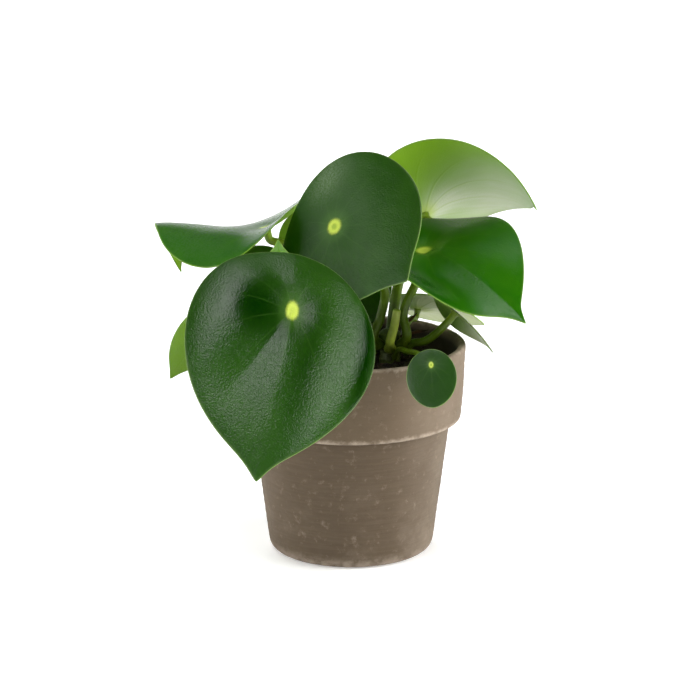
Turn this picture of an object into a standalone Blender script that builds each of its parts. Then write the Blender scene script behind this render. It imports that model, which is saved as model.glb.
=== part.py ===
"""Potted peperomia: a clay pot filled with soil, two short stems, and thirteen leaves on their stalks.

Units are metres and degrees. +Z is up, +X is to the right and +Y to the back, as the plant is seen
from the front. The origin is at the centre of the pot's flat base.
"""

import math
from dataclasses import dataclass
from typing import Optional

import bmesh
import bpy
import numpy as np

# Clearance between pieces that touch
GAP = 0.0003
SEAT_GAP = 0.0004

# Pot: a tapered body under a tall collar, both turned
POT_HEIGHT = 0.120
RIM_RADIUS = 0.065
COLLAR_FOOT = 0.077
COLLAR_FOOT_RADIUS = 0.0625
BODY_TOP_RADIUS = 0.0565
BASE_RADIUS = 0.047
WALL = 0.0045
FLOOR = 0.006
RIM_ROUND = 0.0018
LEDGE_ROUND = 0.0016
BASE_ROUND = 0.0055
POT_STEPS = 48

# Soil: its level, and the low lumps on top
SOIL_LEVEL = 0.1065
SOIL_EDGE_DROP = 0.0015
SOIL_LUMP = 0.0007
SOIL_RINGS = (0.2, 0.42, 0.64, 0.84)

# Stems: short, standing in holes in the soil
STEM_TOP = 0.1255
STEM_SUNK = 0.022
STEM_STEPS = 20
STEM_SWELL = 0.0003

# Leaf stalks leave the stem at this angle above level
LAUNCH = 48.0
LAUNCH_RUN = 0.005
STALK_END_POINTS = 6
STALK_SPACING = 0.009
STALK_BASE_SWELL = 1.12
STALK_NECK = 0.86
END_CLOSENESS = 0.08

# Blades: thickness at the margin, and how many slices each strip's curve is summed over
MARGIN_THICK = 0.0007
SLICES = 24


@dataclass(frozen=True)
class Stem:
    """A short upright stem: its place on the soil and its radius."""

    name: str
    centre: tuple[float, float]
    radius: float


@dataclass(frozen=True)
class Leaf:
    """A leaf blade that its stalk carries from below, some way in from the back edge.

    at is the point over the stalk. heading, pitch and roll turn the blade: heading is the way the tip
    points, from +X towards +Y, pitch lifts the tip, and roll lifts the left half.
    """

    name: str
    at: tuple[float, float, float]
    heading: float
    pitch: float
    roll: float
    length: float
    width: float
    seat: float = 0.30          # share of the length that lies behind the stalk
    pointed: float = 0.50       # 0 for an oval, more for a teardrop
    drip_tip: float = 0.05      # length of the drawn-out tip, as a share of the length
    bend: float = 0.0           # how far the front half has turned down by the tip
    back_bend: float = 0.0      # the same for the part behind the stalk
    hook: float = 0.0           # extra turn close to the tip
    hook_from: float = 0.5      # share of the front half where the hook begins
    left_curl: float = 0.0      # how far the left half has turned down by its margin
    right_curl: float = 0.0
    fold: float = 0.0           # both halves raised in a V
    sway: float = 0.0           # sideways bow of the midrib, as a share of the length
    twist: float = 0.0          # turn of the cross-section by the tip
    dimple: float = 0.0         # depth of the funnel over the stalk
    dimple_reach: float = 0.014
    wave: float = 0.0           # height of the margin's wave
    waves: int = 4
    wave_phase: float = 0.0
    thick: float = 0.0012
    spokes: int = 32
    rings: int = 6


@dataclass(frozen=True)
class Stalk:
    """A leaf stalk from the side of a stem, through its way points, to the underside of a blade."""

    name: str
    stem: str
    bearing: float              # side of the stem that it leaves from
    height: float
    radius: float
    way: tuple[tuple[float, float, float], ...]
    leaf: Optional[str] = None
    neck: float = 0.008         # straight length under the blade


STEMS = (
    Stem("stem_right", (0.022, 0.008), 0.0064),
    Stem("stem_left", (-0.006, 0.014), 0.0062),
)

SMALL = {"spokes": 24, "rings": 4}

LEAVES = (
    Leaf("leaf_front_left", (-0.0315, -0.080, 0.1568), -97, -42.5, -14, 0.127, 0.109, seat=0.275,
         pointed=0.55, drip_tip=0.056, bend=16.5, back_bend=4.5, left_curl=46, right_curl=10,
         sway=-0.055, dimple=0.0035),
    Leaf("leaf_upper", (-0.0089, -0.010, 0.1882), -54.5, -19, 60, 0.098, 0.099, seat=0.367,
         pointed=0.37, drip_tip=0.063, bend=-1, back_bend=5.5, left_curl=17, right_curl=4,
         sway=0.042, twist=-10, dimple=0.001),
    Leaf("leaf_left", (-0.0488, 0.039, 0.1773), 133.5, -14.5, -7, 0.125, 0.110, seat=0.25,
         pointed=0.94, drip_tip=0.07, bend=-16, back_bend=-31, hook=85, hook_from=0.467,
         left_curl=23.5, right_curl=-29, sway=-0.023, twist=39.5, dimple=0.002, rings=10),
    Leaf("leaf_back_right", (0.0424, 0.058, 0.1798), 13.5, 47, -61.5, 0.1095, 0.099, seat=0.322,
         pointed=0.59, drip_tip=0.054, bend=102, left_curl=-26, sway=0.029, twist=-14, dimple=0.006),
    Leaf("leaf_right", (0.0412, 0.012, 0.1691), -48, -8, 11.5, 0.106, 0.0975, seat=0.30, pointed=0.7,
         drip_tip=0.07, bend=30, back_bend=-3, left_curl=-2, right_curl=-26, sway=-0.011, twist=5,
         dimple=0.0046, wave=0.0029, waves=4, wave_phase=91),
    Leaf("leaf_small_front", (0.0431, -0.071, 0.1251), -85, -63, 6, 0.0315, 0.0267, seat=0.27,
         pointed=0.1, drip_tip=0.0, bend=10, left_curl=10, right_curl=10, thick=0.001, **SMALL),
    Leaf("leaf_low_back_right", (0.0387, 0.046, 0.1277), -5, -8, -26, 0.056, 0.054, seat=0.33,
         pointed=0.25, drip_tip=0.03, bend=16, back_bend=-8, left_curl=9, right_curl=5,
         dimple=0.003, **SMALL),
    Leaf("leaf_low_right", (0.0593, 0.004, 0.1362), -13.5, -36.7, -18, 0.044, 0.048, seat=0.36,
         pointed=0.36, drip_tip=0.06, bend=16, back_bend=5, left_curl=35, thick=0.001, **SMALL),
    Leaf("leaf_low_left", (-0.072, 0.008, 0.1295), 177, -39, 37, 0.058, 0.058, seat=0.294,
         pointed=0.4, drip_tip=0.06, bend=24, left_curl=7, right_curl=-1, dimple=0.003, **SMALL),
    Leaf("leaf_back_left", (-0.0264, 0.066, 0.1638), 8, 4, -76, 0.048, 0.043, seat=0.33,
         pointed=0.3, drip_tip=0.05, bend=-10, dimple=0.002, **SMALL),
    Leaf("leaf_low_back_left", (-0.0538, 0.044, 0.1549), -100, -34, 0, 0.041, 0.038, seat=0.33,
         pointed=0.4, drip_tip=0.05, bend=12, left_curl=12, right_curl=12, dimple=0.002, **SMALL),
    Leaf("leaf_young_left", (-0.0384, -0.040, 0.1486), 95, 60, 0, 0.050, 0.030, seat=0.27,
         pointed=0.5, drip_tip=0.08, fold=8, bend=5, thick=0.001, **SMALL),
    Leaf("leaf_inner", (0.0057, 0.036, 0.1480), -96, -62, 0, 0.046, 0.036, seat=0.34,
         pointed=0.35, drip_tip=0.05, bend=10, left_curl=14, right_curl=14, dimple=0.003, **SMALL),
)

STALKS = (
    Stalk("stalk_upper", "stem_right", 222, 0.118, 0.0026,
          ((0.0165, 0.001, 0.1334), (0.0185, -0.002, 0.1515), (0.001, -0.011, 0.1640)), "leaf_upper"),
    Stalk("stalk_back_right", "stem_right", 85, 0.119, 0.0030,
          ((0.024, 0.0205, 0.1305), (0.0268, 0.024, 0.1466), (0.0325, 0.038, 0.1620)),
          "leaf_back_right"),
    Stalk("stalk_right", "stem_right", 318, 0.118, 0.0026,
          ((0.0295, 0.002, 0.1352), (0.0361, 0.006, 0.1514)), "leaf_right"),
    Stalk("stalk_low_back_right", "stem_right", 45, 0.115, 0.0019,
          ((0.0305, 0.022, 0.1210), (0.0345, 0.034, 0.1245)), "leaf_low_back_right", neck=0.004),
    Stalk("stalk_low_right", "stem_right", 354, 0.113, 0.0024,
          ((0.0419, 0.004, 0.1192), (0.0510, 0.002, 0.1270)), "leaf_low_right", neck=0.005),
    Stalk("stalk_front_left", "stem_right", 180, 0.112, 0.0028,
          ((0.006, 0.003, 0.1230), (-0.001, -0.020, 0.1340), (-0.013, -0.050, 0.1420)),
          "leaf_front_left"),
    Stalk("stalk_small_front", "stem_right", 290, 0.111, 0.0015,
          ((0.0315, -0.022, 0.1200), (0.039, -0.048, 0.1240)), "leaf_small_front", neck=0.005),
    Stalk("stub", "stem_right", 270, 0.117, 0.0026,
          ((0.0243, -0.0045, 0.1300), (0.0258, -0.0052, 0.1395))),
    Stalk("stalk_left", "stem_left", 178, 0.118, 0.0026,
          ((-0.018, 0.022, 0.1360), (-0.028, 0.034, 0.1580), (-0.0385, 0.038, 0.1680)), "leaf_left",
          neck=0.006),
    Stalk("stalk_low_left", "stem_left", 205, 0.111, 0.0020,
          ((-0.030, 0.004, 0.1265), (-0.054, -0.001, 0.1280)), "leaf_low_left", neck=0.006),
    Stalk("stalk_back_left", "stem_left", 118, 0.118, 0.0022,
          ((-0.013, 0.037, 0.1300), (-0.017, 0.051, 0.1470)), "leaf_back_left"),
    Stalk("stalk_low_back_left", "stem_left", 150, 0.111, 0.0022,
          ((-0.024, 0.032, 0.1300), (-0.038, 0.044, 0.1400)), "leaf_low_back_left"),
    Stalk("stalk_young_left", "stem_left", 250, 0.114, 0.0018,
          ((-0.014, -0.002, 0.1240), (-0.030, -0.026, 0.1380)), "leaf_young_left"),
    Stalk("stalk_inner", "stem_left", 48, 0.1105, 0.0022,
          ((0.005, 0.030, 0.1135), (0.0075, 0.043, 0.1240)), "leaf_inner", neck=0.007),
    Stalk("dry_stalk_front", "stem_right", 4, 0.1185, 0.0009,
          ((0.0346, 0.007, 0.1232), (0.0437, 0.009, 0.1244))),
    Stalk("dry_stalk_back", "stem_right", 25, 0.1195, 0.0009,
          ((0.0308, 0.0145, 0.1260), (0.0343, 0.019, 0.1282), (0.0378, 0.024, 0.1307))),
)

# Colours as seen, 0 to 255, with roughness
CLAY = ((118, 104, 89), 0.8)
EARTH = ((20, 16, 11), 0.95)
STEM_SKIN = ((70, 78, 34), 0.55)
STALK_SKIN = ((74, 98, 30), 0.4)
CUT_STALK = ((110, 128, 60), 0.5)
DRY = ((96, 72, 40), 0.8)
BLADE = ((45, 84, 32), 0.3)
YOUNG_BLADE = ((70, 108, 20), 0.35)


def clear_scene() -> None:
    """Remove every object that the file opened with."""
    for thing in list(bpy.data.objects):
        bpy.data.objects.remove(thing, do_unlink=True)


def new_collection(name: str) -> bpy.types.Collection:
    """Make a collection under the scene."""
    group = bpy.data.collections.new(name)
    bpy.context.scene.collection.children.link(group)
    return group


def linear(value: int) -> float:
    """Turn one 0 to 255 display value into the linear value that a shader takes."""
    share = value / 255
    return share / 12.92 if share <= 0.04045 else ((share + 0.055) / 1.055) ** 2.4


def finish(name: str, look: tuple) -> bpy.types.Material:
    """Make a plain material for one piece from its seen colour and roughness."""
    colour, roughness = look
    material = bpy.data.materials.new(name)
    material.use_nodes = True
    shader = material.node_tree.nodes["Principled BSDF"]
    shader.inputs["Base Color"].default_value = (*[linear(part) for part in colour], 1.0)
    shader.inputs["Roughness"].default_value = roughness
    shader.inputs["Metallic"].default_value = 0.0
    return material


def add_piece(name: str, data, group: bpy.types.Collection, look: tuple) -> bpy.types.Object:
    """Make an object of its own for a mesh or a curve, with a material of its own."""
    piece = bpy.data.objects.new(name, data)
    group.objects.link(piece)
    data.materials.append(finish(name, look))
    return piece


def smooth(mesh: bpy.types.Mesh, sharp_from: float = 40.0) -> None:
    """Shade a mesh smooth, with its edges past an angle kept sharp."""
    mesh.shade_smooth()
    mesh.set_sharp_from_angle(angle=math.radians(sharp_from))


def arc(centre: tuple[float, float], radius: float, start: float, end: float, points: int) -> list:
    """Points along an arc in the profile plane, from one angle to another in degrees."""
    angles = np.radians(np.linspace(start, end, points))
    return [(centre[0] + radius * math.cos(a), centre[1] + radius * math.sin(a)) for a in angles]


def turned(name: str, profile: list, steps: int) -> bpy.types.Mesh:
    """Turn a profile of (radius, height) points round Z into a closed mesh.

    The profile starts and ends on the axis and runs down the outer side from top to bottom.
    """
    line = bpy.data.meshes.new(name + "_profile")
    points = [(radius, 0.0, height) for radius, height in profile]
    line.from_pydata(points, [(i, i + 1) for i in range(len(points) - 1)], [])
    holder = bpy.data.objects.new(name + "_profile", line)
    bpy.context.scene.collection.objects.link(holder)
    screw = holder.modifiers.new("turn", "SCREW")
    screw.steps = steps
    screw.render_steps = steps
    screw.use_merge_vertices = True
    screw.merge_threshold = 0.00001
    mesh = evaluated_mesh(holder, name)
    bpy.data.objects.remove(holder, do_unlink=True)
    bpy.data.meshes.remove(line)
    return mesh


def evaluated_mesh(thing: bpy.types.Object, name: str) -> bpy.types.Mesh:
    """Make a mesh of an object as its modifiers leave it."""
    bpy.context.view_layer.update()
    graph = bpy.context.evaluated_depsgraph_get()
    mesh = bpy.data.meshes.new_from_object(thing.evaluated_get(graph))
    mesh.name = name
    return mesh


def inner_radius(height: float) -> float:
    """Radius of the pot's inside wall at a height."""
    body_top = BODY_TOP_RADIUS - WALL
    if height <= COLLAR_FOOT:
        share = (height - FLOOR) / (COLLAR_FOOT - FLOOR)
        return (BASE_RADIUS - WALL) + share * (body_top - BASE_RADIUS + WALL)
    share = (height - COLLAR_FOOT) / (POT_HEIGHT - COLLAR_FOOT)
    return body_top + share * (RIM_RADIUS - WALL - body_top)


def pot_profile() -> list:
    """The pot from the middle of its floor, up the inside, over the rim and down to the base."""
    rim_in = inner_radius(POT_HEIGHT) + RIM_ROUND
    rim_out = RIM_RADIUS - RIM_ROUND
    top = POT_HEIGHT - RIM_ROUND
    ledge = COLLAR_FOOT + LEDGE_ROUND
    base = BASE_RADIUS - BASE_ROUND
    inside = [(0.0, FLOOR), (inner_radius(FLOOR), FLOOR), (inner_radius(COLLAR_FOOT), COLLAR_FOOT)]
    rim = arc((rim_in, top), RIM_ROUND, 180, 90, 4) + arc((rim_out, top), RIM_ROUND, 90, 0, 4)
    collar = arc((COLLAR_FOOT_RADIUS - LEDGE_ROUND, ledge), LEDGE_ROUND, 0, -90, 4)
    body = [(BODY_TOP_RADIUS, COLLAR_FOOT)]
    foot = arc((base, BASE_ROUND), BASE_ROUND, 0, -90, 4)
    return inside + rim + collar + body + foot + [(0.0, 0.0)]


def soil_top(x: float, y: float) -> float:
    """Height of the soil: level, a little lower at the wall, with low lumps."""
    away = math.hypot(x, y) / inner_radius(SOIL_LEVEL)
    lumps = math.sin(210 * x + 1.0) * math.cos(190 * y) + 0.6 * math.sin(330 * y - 160 * x)
    return SOIL_LEVEL - SOIL_EDGE_DROP * away ** 4 + SOIL_LUMP * lumps


def build_soil(group: bpy.types.Collection, cutters: bpy.types.Collection) -> bpy.types.Object:
    """The soil fills the pot to its level, with a plain hole for each stem."""
    wall = [(inner_radius(height) - GAP, height) for height in (SOIL_LEVEL, COLLAR_FOOT)]
    wall.append((inner_radius(FLOOR) - GAP, FLOOR + GAP))
    top = [(share * wall[0][0], SOIL_LEVEL) for share in SOIL_RINGS]
    mesh = turned("soil", [(0.0, SOIL_LEVEL)] + top + wall + [(0.0, FLOOR + GAP)], POT_STEPS)
    for vertex in mesh.vertices:
        if vertex.co.z > SOIL_LEVEL - GAP:
            vertex.co.z = soil_top(vertex.co.x, vertex.co.y)
            away = math.hypot(vertex.co.x, vertex.co.y)
            inward = min(1.0, (inner_radius(vertex.co.z) - GAP) / max(away, GAP))
            vertex.co.x *= inward
            vertex.co.y *= inward
    soil = add_piece("soil", mesh, group, EARTH)
    for stem in STEMS:
        add_hole(soil, stem, cutters)
    mesh.shade_flat()
    return soil


def add_hole(soil: bpy.types.Object, stem: Stem, cutters: bpy.types.Collection) -> None:
    """Cut the hole that a stem stands in."""
    bottom = SOIL_LEVEL - STEM_SUNK
    wide = stem.radius + GAP
    profile = [(0.0, POT_HEIGHT), (wide, POT_HEIGHT), (wide, bottom), (0.0, bottom)]
    cutter = bpy.data.objects.new(stem.name + "_hole", turned(stem.name + "_hole", profile, STEM_STEPS))
    cutters.objects.link(cutter)
    cutter.location = (*stem.centre, 0.0)
    cutter.hide_render = True
    cutter.display_type = "WIRE"
    cut = soil.modifiers.new(cutter.name, "BOOLEAN")
    cut.operation = "DIFFERENCE"
    cut.solver = "EXACT"
    cut.object = cutter


def build_stem(stem: Stem, group: bpy.types.Collection) -> bpy.types.Object:
    """A stem: straight below the soil, with two swollen joints and a domed top above it."""
    bottom = SOIL_LEVEL - STEM_SUNK + GAP
    clear = SOIL_LEVEL + 3 * SOIL_LUMP
    upper = STEM_TOP - clear
    crown = ((0.0, 1.0), (0.6, 0.965), (0.87, 0.9), (1.0, 0.8))
    dome = [(stem.radius * wide, clear + upper * high) for wide, high in crown]
    joints = [(stem.radius - STEM_SWELL, clear + 0.45 * upper), (stem.radius, clear + 0.2 * upper)]
    root = [(stem.radius, clear), (stem.radius, bottom), (0.0, bottom)]
    mesh = turned(stem.name, dome + joints + root, STEM_STEPS)
    smooth(mesh)
    piece = add_piece(stem.name, mesh, group, STEM_SKIN)
    piece.location = (*stem.centre, 0.0)
    return piece


def blade_frame(leaf: Leaf) -> tuple[np.ndarray, np.ndarray, np.ndarray]:
    """The blade's own directions: towards the tip, to the left, and up out of its face."""
    heading, pitch, roll = np.radians([leaf.heading, leaf.pitch, leaf.roll])
    level = math.cos(pitch)
    forward = np.array([level * math.cos(heading), level * math.sin(heading), math.sin(pitch)])
    across = np.array([-math.sin(heading), math.cos(heading), 0.0])
    lifted = np.cross(forward, across)
    left = across * math.cos(roll) + lifted * math.sin(roll)
    return forward, left, np.cross(forward, left)


def blade_outline(leaf: Leaf, angle: np.ndarray) -> tuple[np.ndarray, np.ndarray]:
    """The flat outline at each angle from the tip: distance in front of the stalk, and to the left."""
    half = np.linspace(0.0, math.pi, 400)
    widest = (np.sin(half) * np.sin(half / 2) ** leaf.pointed).max()
    left = np.sin(angle) * np.abs(np.sin(angle / 2)) ** leaf.pointed * leaf.width / 2 / widest
    off_tip = np.abs((angle + math.pi) % (2 * math.pi) - math.pi)
    tip = leaf.drip_tip * np.exp(-(off_tip / 0.28) ** 2)
    return leaf.length * (0.5 + 0.5 * np.cos(angle) + tip - leaf.seat), left


def curved_run(distance: np.ndarray, slopes: np.ndarray) -> tuple[np.ndarray, np.ndarray]:
    """How far a strip reaches and drops, whose slope along it is the last axis of slopes."""
    return distance * np.cos(slopes).mean(axis=-1), distance * np.sin(slopes).mean(axis=-1)


def blade_points(leaf: Leaf, share: np.ndarray, angle: np.ndarray) -> np.ndarray:
    """Points of the blade's middle surface.

    share goes from 0 over the stalk to 1 at the margin, and angle is measured from the tip.
    """
    out_front, out_left = blade_outline(leaf, angle)
    front, left = share * out_front, share * out_left
    along = (np.arange(SLICES) + 0.5) / SLICES
    ahead = front >= 0
    reach = np.where(ahead, (1 - leaf.seat) * leaf.length, leaf.seat * leaf.length)
    part = np.abs(front) / reach
    steps = part[..., None] * along
    hooked = np.clip((steps - leaf.hook_from) / (1 - leaf.hook_from), 0, None) ** 2
    slope_front = np.radians(leaf.bend) * steps + np.radians(leaf.hook) * hooked
    slope_back = np.radians(leaf.back_bend) * steps
    run, drop = curved_run(np.abs(front), np.where(ahead[..., None], slope_front, slope_back))
    run = np.where(ahead, run, -run)
    end_hook = np.clip((part - leaf.hook_from) / (1 - leaf.hook_from), 0, None) ** 2
    end_front = np.radians(leaf.bend) * part + np.radians(leaf.hook) * end_hook
    lean = np.where(ahead, end_front, -np.radians(leaf.back_bend) * part)

    curl = np.radians(np.where(left >= 0, leaf.left_curl, leaf.right_curl))
    side_part = np.abs(left) / (leaf.width / 2)
    side_slope = (curl * side_part)[..., None] * along - np.radians(leaf.fold)
    side, sink = curved_run(np.abs(left), side_slope)
    side = np.sign(left) * side
    turn = np.radians(leaf.twist) * np.clip(front / ((1 - leaf.seat) * leaf.length), -0.5, 1)
    across = side * np.cos(turn) + sink * np.sin(turn)
    height = side * np.sin(turn) - sink * np.cos(turn)
    to_tip = np.clip(front / ((1 - leaf.seat) * leaf.length), -1, 1.1)
    across = across + leaf.sway * leaf.length * np.sin(math.pi / 2 * to_tip) ** 2
    height = height + leaf.dimple * (1 - np.exp(-(np.hypot(front, left) / leaf.dimple_reach) ** 2))
    height = height + leaf.wave * share ** 2 * np.sin(leaf.waves * angle + np.radians(leaf.wave_phase))

    forward, leftward, upward = blade_frame(leaf)
    ahead_by = run + np.sin(lean) * height
    above_by = np.cos(lean) * height - drop
    return (np.asarray(leaf.at) + ahead_by[..., None] * forward + across[..., None] * leftward
            + above_by[..., None] * upward)


def blade_grid(leaf: Leaf) -> tuple[np.ndarray, np.ndarray]:
    """Points and half thicknesses of a blade, as normals, ring by ring from the stalk outwards."""
    turn = np.linspace(0, 2 * math.pi, leaf.spokes, endpoint=False)
    angle = np.broadcast_to(turn - 0.55 * np.sin(turn), (leaf.rings, leaf.spokes))
    share = np.broadcast_to((np.arange(leaf.rings) + 1)[:, None] / leaf.rings, angle.shape)
    step = 0.001
    points = blade_points(leaf, share, angle)
    outward = points - blade_points(leaf, share - step, angle)
    around = blade_points(leaf, share, angle + step) - blade_points(leaf, share, angle - step)
    normal = np.cross(outward, around)
    normal /= np.linalg.norm(normal, axis=-1, keepdims=True)
    half = (MARGIN_THICK + (leaf.thick - MARGIN_THICK) * (1 - share ** 2)) / 2
    return points, normal * half[..., None]


def build_leaf(leaf: Leaf, group: bpy.types.Collection) -> bpy.types.Object:
    """A blade: two faces, split into triangles alike, joined by a strip at the margin."""
    points, half = blade_grid(leaf)
    upward = blade_frame(leaf)[2] * leaf.thick / 2
    mesh = bmesh.new()
    upper = [[mesh.verts.new(p) for p in row] for row in points + half]
    lower = [[mesh.verts.new(p) for p in row] for row in points - half]
    top = mesh.verts.new(np.asarray(leaf.at) + upward)
    bottom = mesh.verts.new(np.asarray(leaf.at) - upward)
    for j in range(leaf.spokes):
        k = (j + 1) % leaf.spokes
        mesh.faces.new((top, upper[0][j], upper[0][k]))
        mesh.faces.new((bottom, lower[0][k], lower[0][j]))
        for inner, outer, deep_in, deep_out in zip(upper, upper[1:], lower, lower[1:]):
            mesh.faces.new((inner[j], outer[j], outer[k]))
            mesh.faces.new((inner[j], outer[k], inner[k]))
            mesh.faces.new((deep_in[j], deep_out[k], deep_out[j]))
            mesh.faces.new((deep_in[j], deep_in[k], deep_out[k]))
        mesh.faces.new((upper[-1][j], lower[-1][j], lower[-1][k]))
        mesh.faces.new((upper[-1][j], lower[-1][k], upper[-1][k]))
    blade = bpy.data.meshes.new(leaf.name)
    mesh.to_mesh(blade)
    mesh.free()
    smooth(blade)
    return add_piece(leaf.name, blade, group, YOUNG_BLADE if leaf.fold else BLADE)


def smooth_path(points: list) -> np.ndarray:
    """Points on a smooth curve through the given ones, closer together near its two ends."""
    given = np.asarray(points, float)
    span = np.linalg.norm(np.diff(given, axis=0), axis=1)[:, None]
    slope = np.diff(given, axis=0) / span
    between = (slope[:-1] * span[1:] + slope[1:] * span[:-1]) / (span[:-1] + span[1:])
    lean = np.vstack([slope[:1], between, slope[-1:]])
    t = np.linspace(0, 1, 20, endpoint=False)[:, None]
    fine = []
    for i, reach in enumerate(span):
        fine.append((1 + 2 * t) * (1 - t) ** 2 * given[i] + t * (1 - t) ** 2 * reach * lean[i]
                    + t ** 2 * (3 - 2 * t) * given[i + 1] - t ** 2 * (1 - t) * reach * lean[i + 1])
    fine = np.vstack(fine + [given[-1:]])
    lengths = np.concatenate([[0], np.cumsum(np.linalg.norm(np.diff(fine, axis=0), axis=1))])
    share = np.linspace(0, 1, STALK_END_POINTS + int(lengths[-1] / STALK_SPACING))
    stops = lengths[-1] * (share - END_CLOSENESS * np.sin(2 * math.pi * share))
    return np.stack([np.interp(stops, lengths, fine[:, axis]) for axis in range(3)], axis=1)


def stalk_path(stalk: Stalk) -> np.ndarray:
    """The stalk's middle line, from beside the stem to just under the blade."""
    stem = next(stem for stem in STEMS if stem.name == stalk.stem)
    bearing, launch = np.radians([stalk.bearing, LAUNCH])
    out = np.array([math.cos(bearing), math.sin(bearing), 0.0])
    up = np.array([0.0, 0.0, 1.0])
    clear = stem.radius + SEAT_GAP + stalk.radius * STALK_BASE_SWELL * math.sin(launch)
    foot = np.array([*stem.centre, stalk.height]) + out * clear
    points = [foot, foot + LAUNCH_RUN * (out * math.cos(launch) + up * math.sin(launch))]
    points += [np.array(point) for point in stalk.way]
    if stalk.leaf:
        leaf = next(leaf for leaf in LEAVES if leaf.name == stalk.leaf)
        upward = blade_frame(leaf)[2]
        for below in (stalk.neck, stalk.neck / 2, leaf.thick / 2 + SEAT_GAP):
            points.append(np.asarray(leaf.at) - upward * below)
    return smooth_path(points)


def build_stalk(stalk: Stalk, group: bpy.types.Collection) -> bpy.types.Object:
    """A stalk: a round tube along its path, thicker at the foot and slimmer at the neck."""
    path = stalk_path(stalk)
    curve = bpy.data.curves.new(stalk.name, "CURVE")
    curve.dimensions = "3D"
    curve.bevel_depth = stalk.radius
    curve.bevel_resolution = 2
    curve.use_fill_caps = True
    line = curve.splines.new("POLY")
    line.points.add(len(path) - 1)
    share = np.linspace(0, 1, len(path))
    swell = 1 + (STALK_BASE_SWELL - 1) * np.exp(-(share / 0.1) ** 2)
    neck = 1 - (1 - STALK_NECK) * share ** 2
    for point, place, wide in zip(line.points, path, swell * neck):
        point.co = (*place, 1.0)
        point.radius = wide
    dry = stalk.name.startswith("dry")
    look = DRY if dry else STALK_SKIN if stalk.leaf else CUT_STALK
    return add_piece(stalk.name, curve, group, look)


def main() -> None:
    """Build the pot, the soil, the stems, the leaves and their stalks."""
    clear_scene()
    plant = new_collection("potted_peperomia")
    cutters = new_collection("cutters")
    pot_mesh = turned("pot", pot_profile(), POT_STEPS)
    smooth(pot_mesh)
    add_piece("pot", pot_mesh, plant, CLAY)
    build_soil(plant, cutters)
    for stem in STEMS:
        build_stem(stem, plant)
    for leaf in LEAVES:
        build_leaf(leaf, plant)
    for stalk in STALKS:
        build_stalk(stalk, plant)


main()
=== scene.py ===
"""Potted peperomia: the finished surfaces of the leaves, stalks, stems, soil and clay pot.

Units are metres and degrees, with +Z up. The plant is seen from the front along +Y, so +X is to the
right. Every piece stands where its solid stands and rides on the one body.
"""

import logging
import math
from dataclasses import dataclass, field
from enum import Enum
from typing import Optional, Sequence, Union

import bpy
import numpy as np
from mathutils import Matrix, Vector

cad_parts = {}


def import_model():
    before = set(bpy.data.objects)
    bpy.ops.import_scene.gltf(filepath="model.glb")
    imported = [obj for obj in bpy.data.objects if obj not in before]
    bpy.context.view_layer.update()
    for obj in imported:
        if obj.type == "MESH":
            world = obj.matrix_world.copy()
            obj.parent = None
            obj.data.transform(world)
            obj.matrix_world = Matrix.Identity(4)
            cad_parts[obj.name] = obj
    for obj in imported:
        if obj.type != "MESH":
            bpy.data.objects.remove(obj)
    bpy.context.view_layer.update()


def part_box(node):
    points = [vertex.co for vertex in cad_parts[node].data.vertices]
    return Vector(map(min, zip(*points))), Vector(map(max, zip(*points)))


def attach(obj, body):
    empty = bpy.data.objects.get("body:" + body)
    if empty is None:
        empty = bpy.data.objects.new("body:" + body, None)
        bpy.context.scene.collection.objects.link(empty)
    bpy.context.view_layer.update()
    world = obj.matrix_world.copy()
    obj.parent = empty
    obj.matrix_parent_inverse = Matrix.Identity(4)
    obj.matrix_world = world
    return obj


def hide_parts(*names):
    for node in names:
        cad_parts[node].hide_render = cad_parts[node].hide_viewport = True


log = logging.getLogger("potted_peperomia")

BODY = "root"
TINY = 1e-6    # keeps a division away from 0

Socket = bpy.types.NodeSocket
Feed = Union[Socket, float, tuple]
Seen = tuple[int, int, int]
Point = tuple[float, float, float]
Skin = tuple[np.ndarray, Sequence[float], Sequence[float]]


class Slot(Enum):
    """The material slots that the pieces take their finish from."""

    CLAY = "clay"
    SOIL = "soil"
    STEM = "stem"
    LEAF = "leaf"
    STALK = "stalk"
    DRY_STALK = "dry_stalk"


class Age(Enum):
    """How old a leaf is, which sets its greens."""

    OLD = "old"
    GROWN = "grown"
    FRESH = "fresh"


class StalkEnd(Enum):
    """What the upper end of a stalk meets."""

    BLADE = "blade"
    CUT = "cut"
    WITHERED = "withered"


def linear(seen: Seen) -> tuple[float, float, float, float]:
    """Turn a colour as seen, 0 to 255, into the linear colour that a shader takes.

    Args:
        seen: red, green and blue as displayed.

    Returns:
        The linear red, green and blue, and an alpha of 1.
    """
    shares = [part / 255 for part in seen]
    parts = [share / 12.92 if share <= 0.04045 else ((share + 0.055) / 1.055) ** 2.4 for share in shares]
    return (*parts, 1.0)


def ease(value: np.ndarray, low: float, high: float) -> np.ndarray:
    """Rise smoothly from 0 at low to 1 at high.

    Args:
        value: the numbers to map.
        low: where the rise begins.
        high: where it ends.

    Returns:
        The eased share for each number.
    """
    share = np.clip((value - low) / (high - low), 0.0, 1.0)
    return share * share * (3 - 2 * share)


# Wiring of shader nodes


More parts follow.
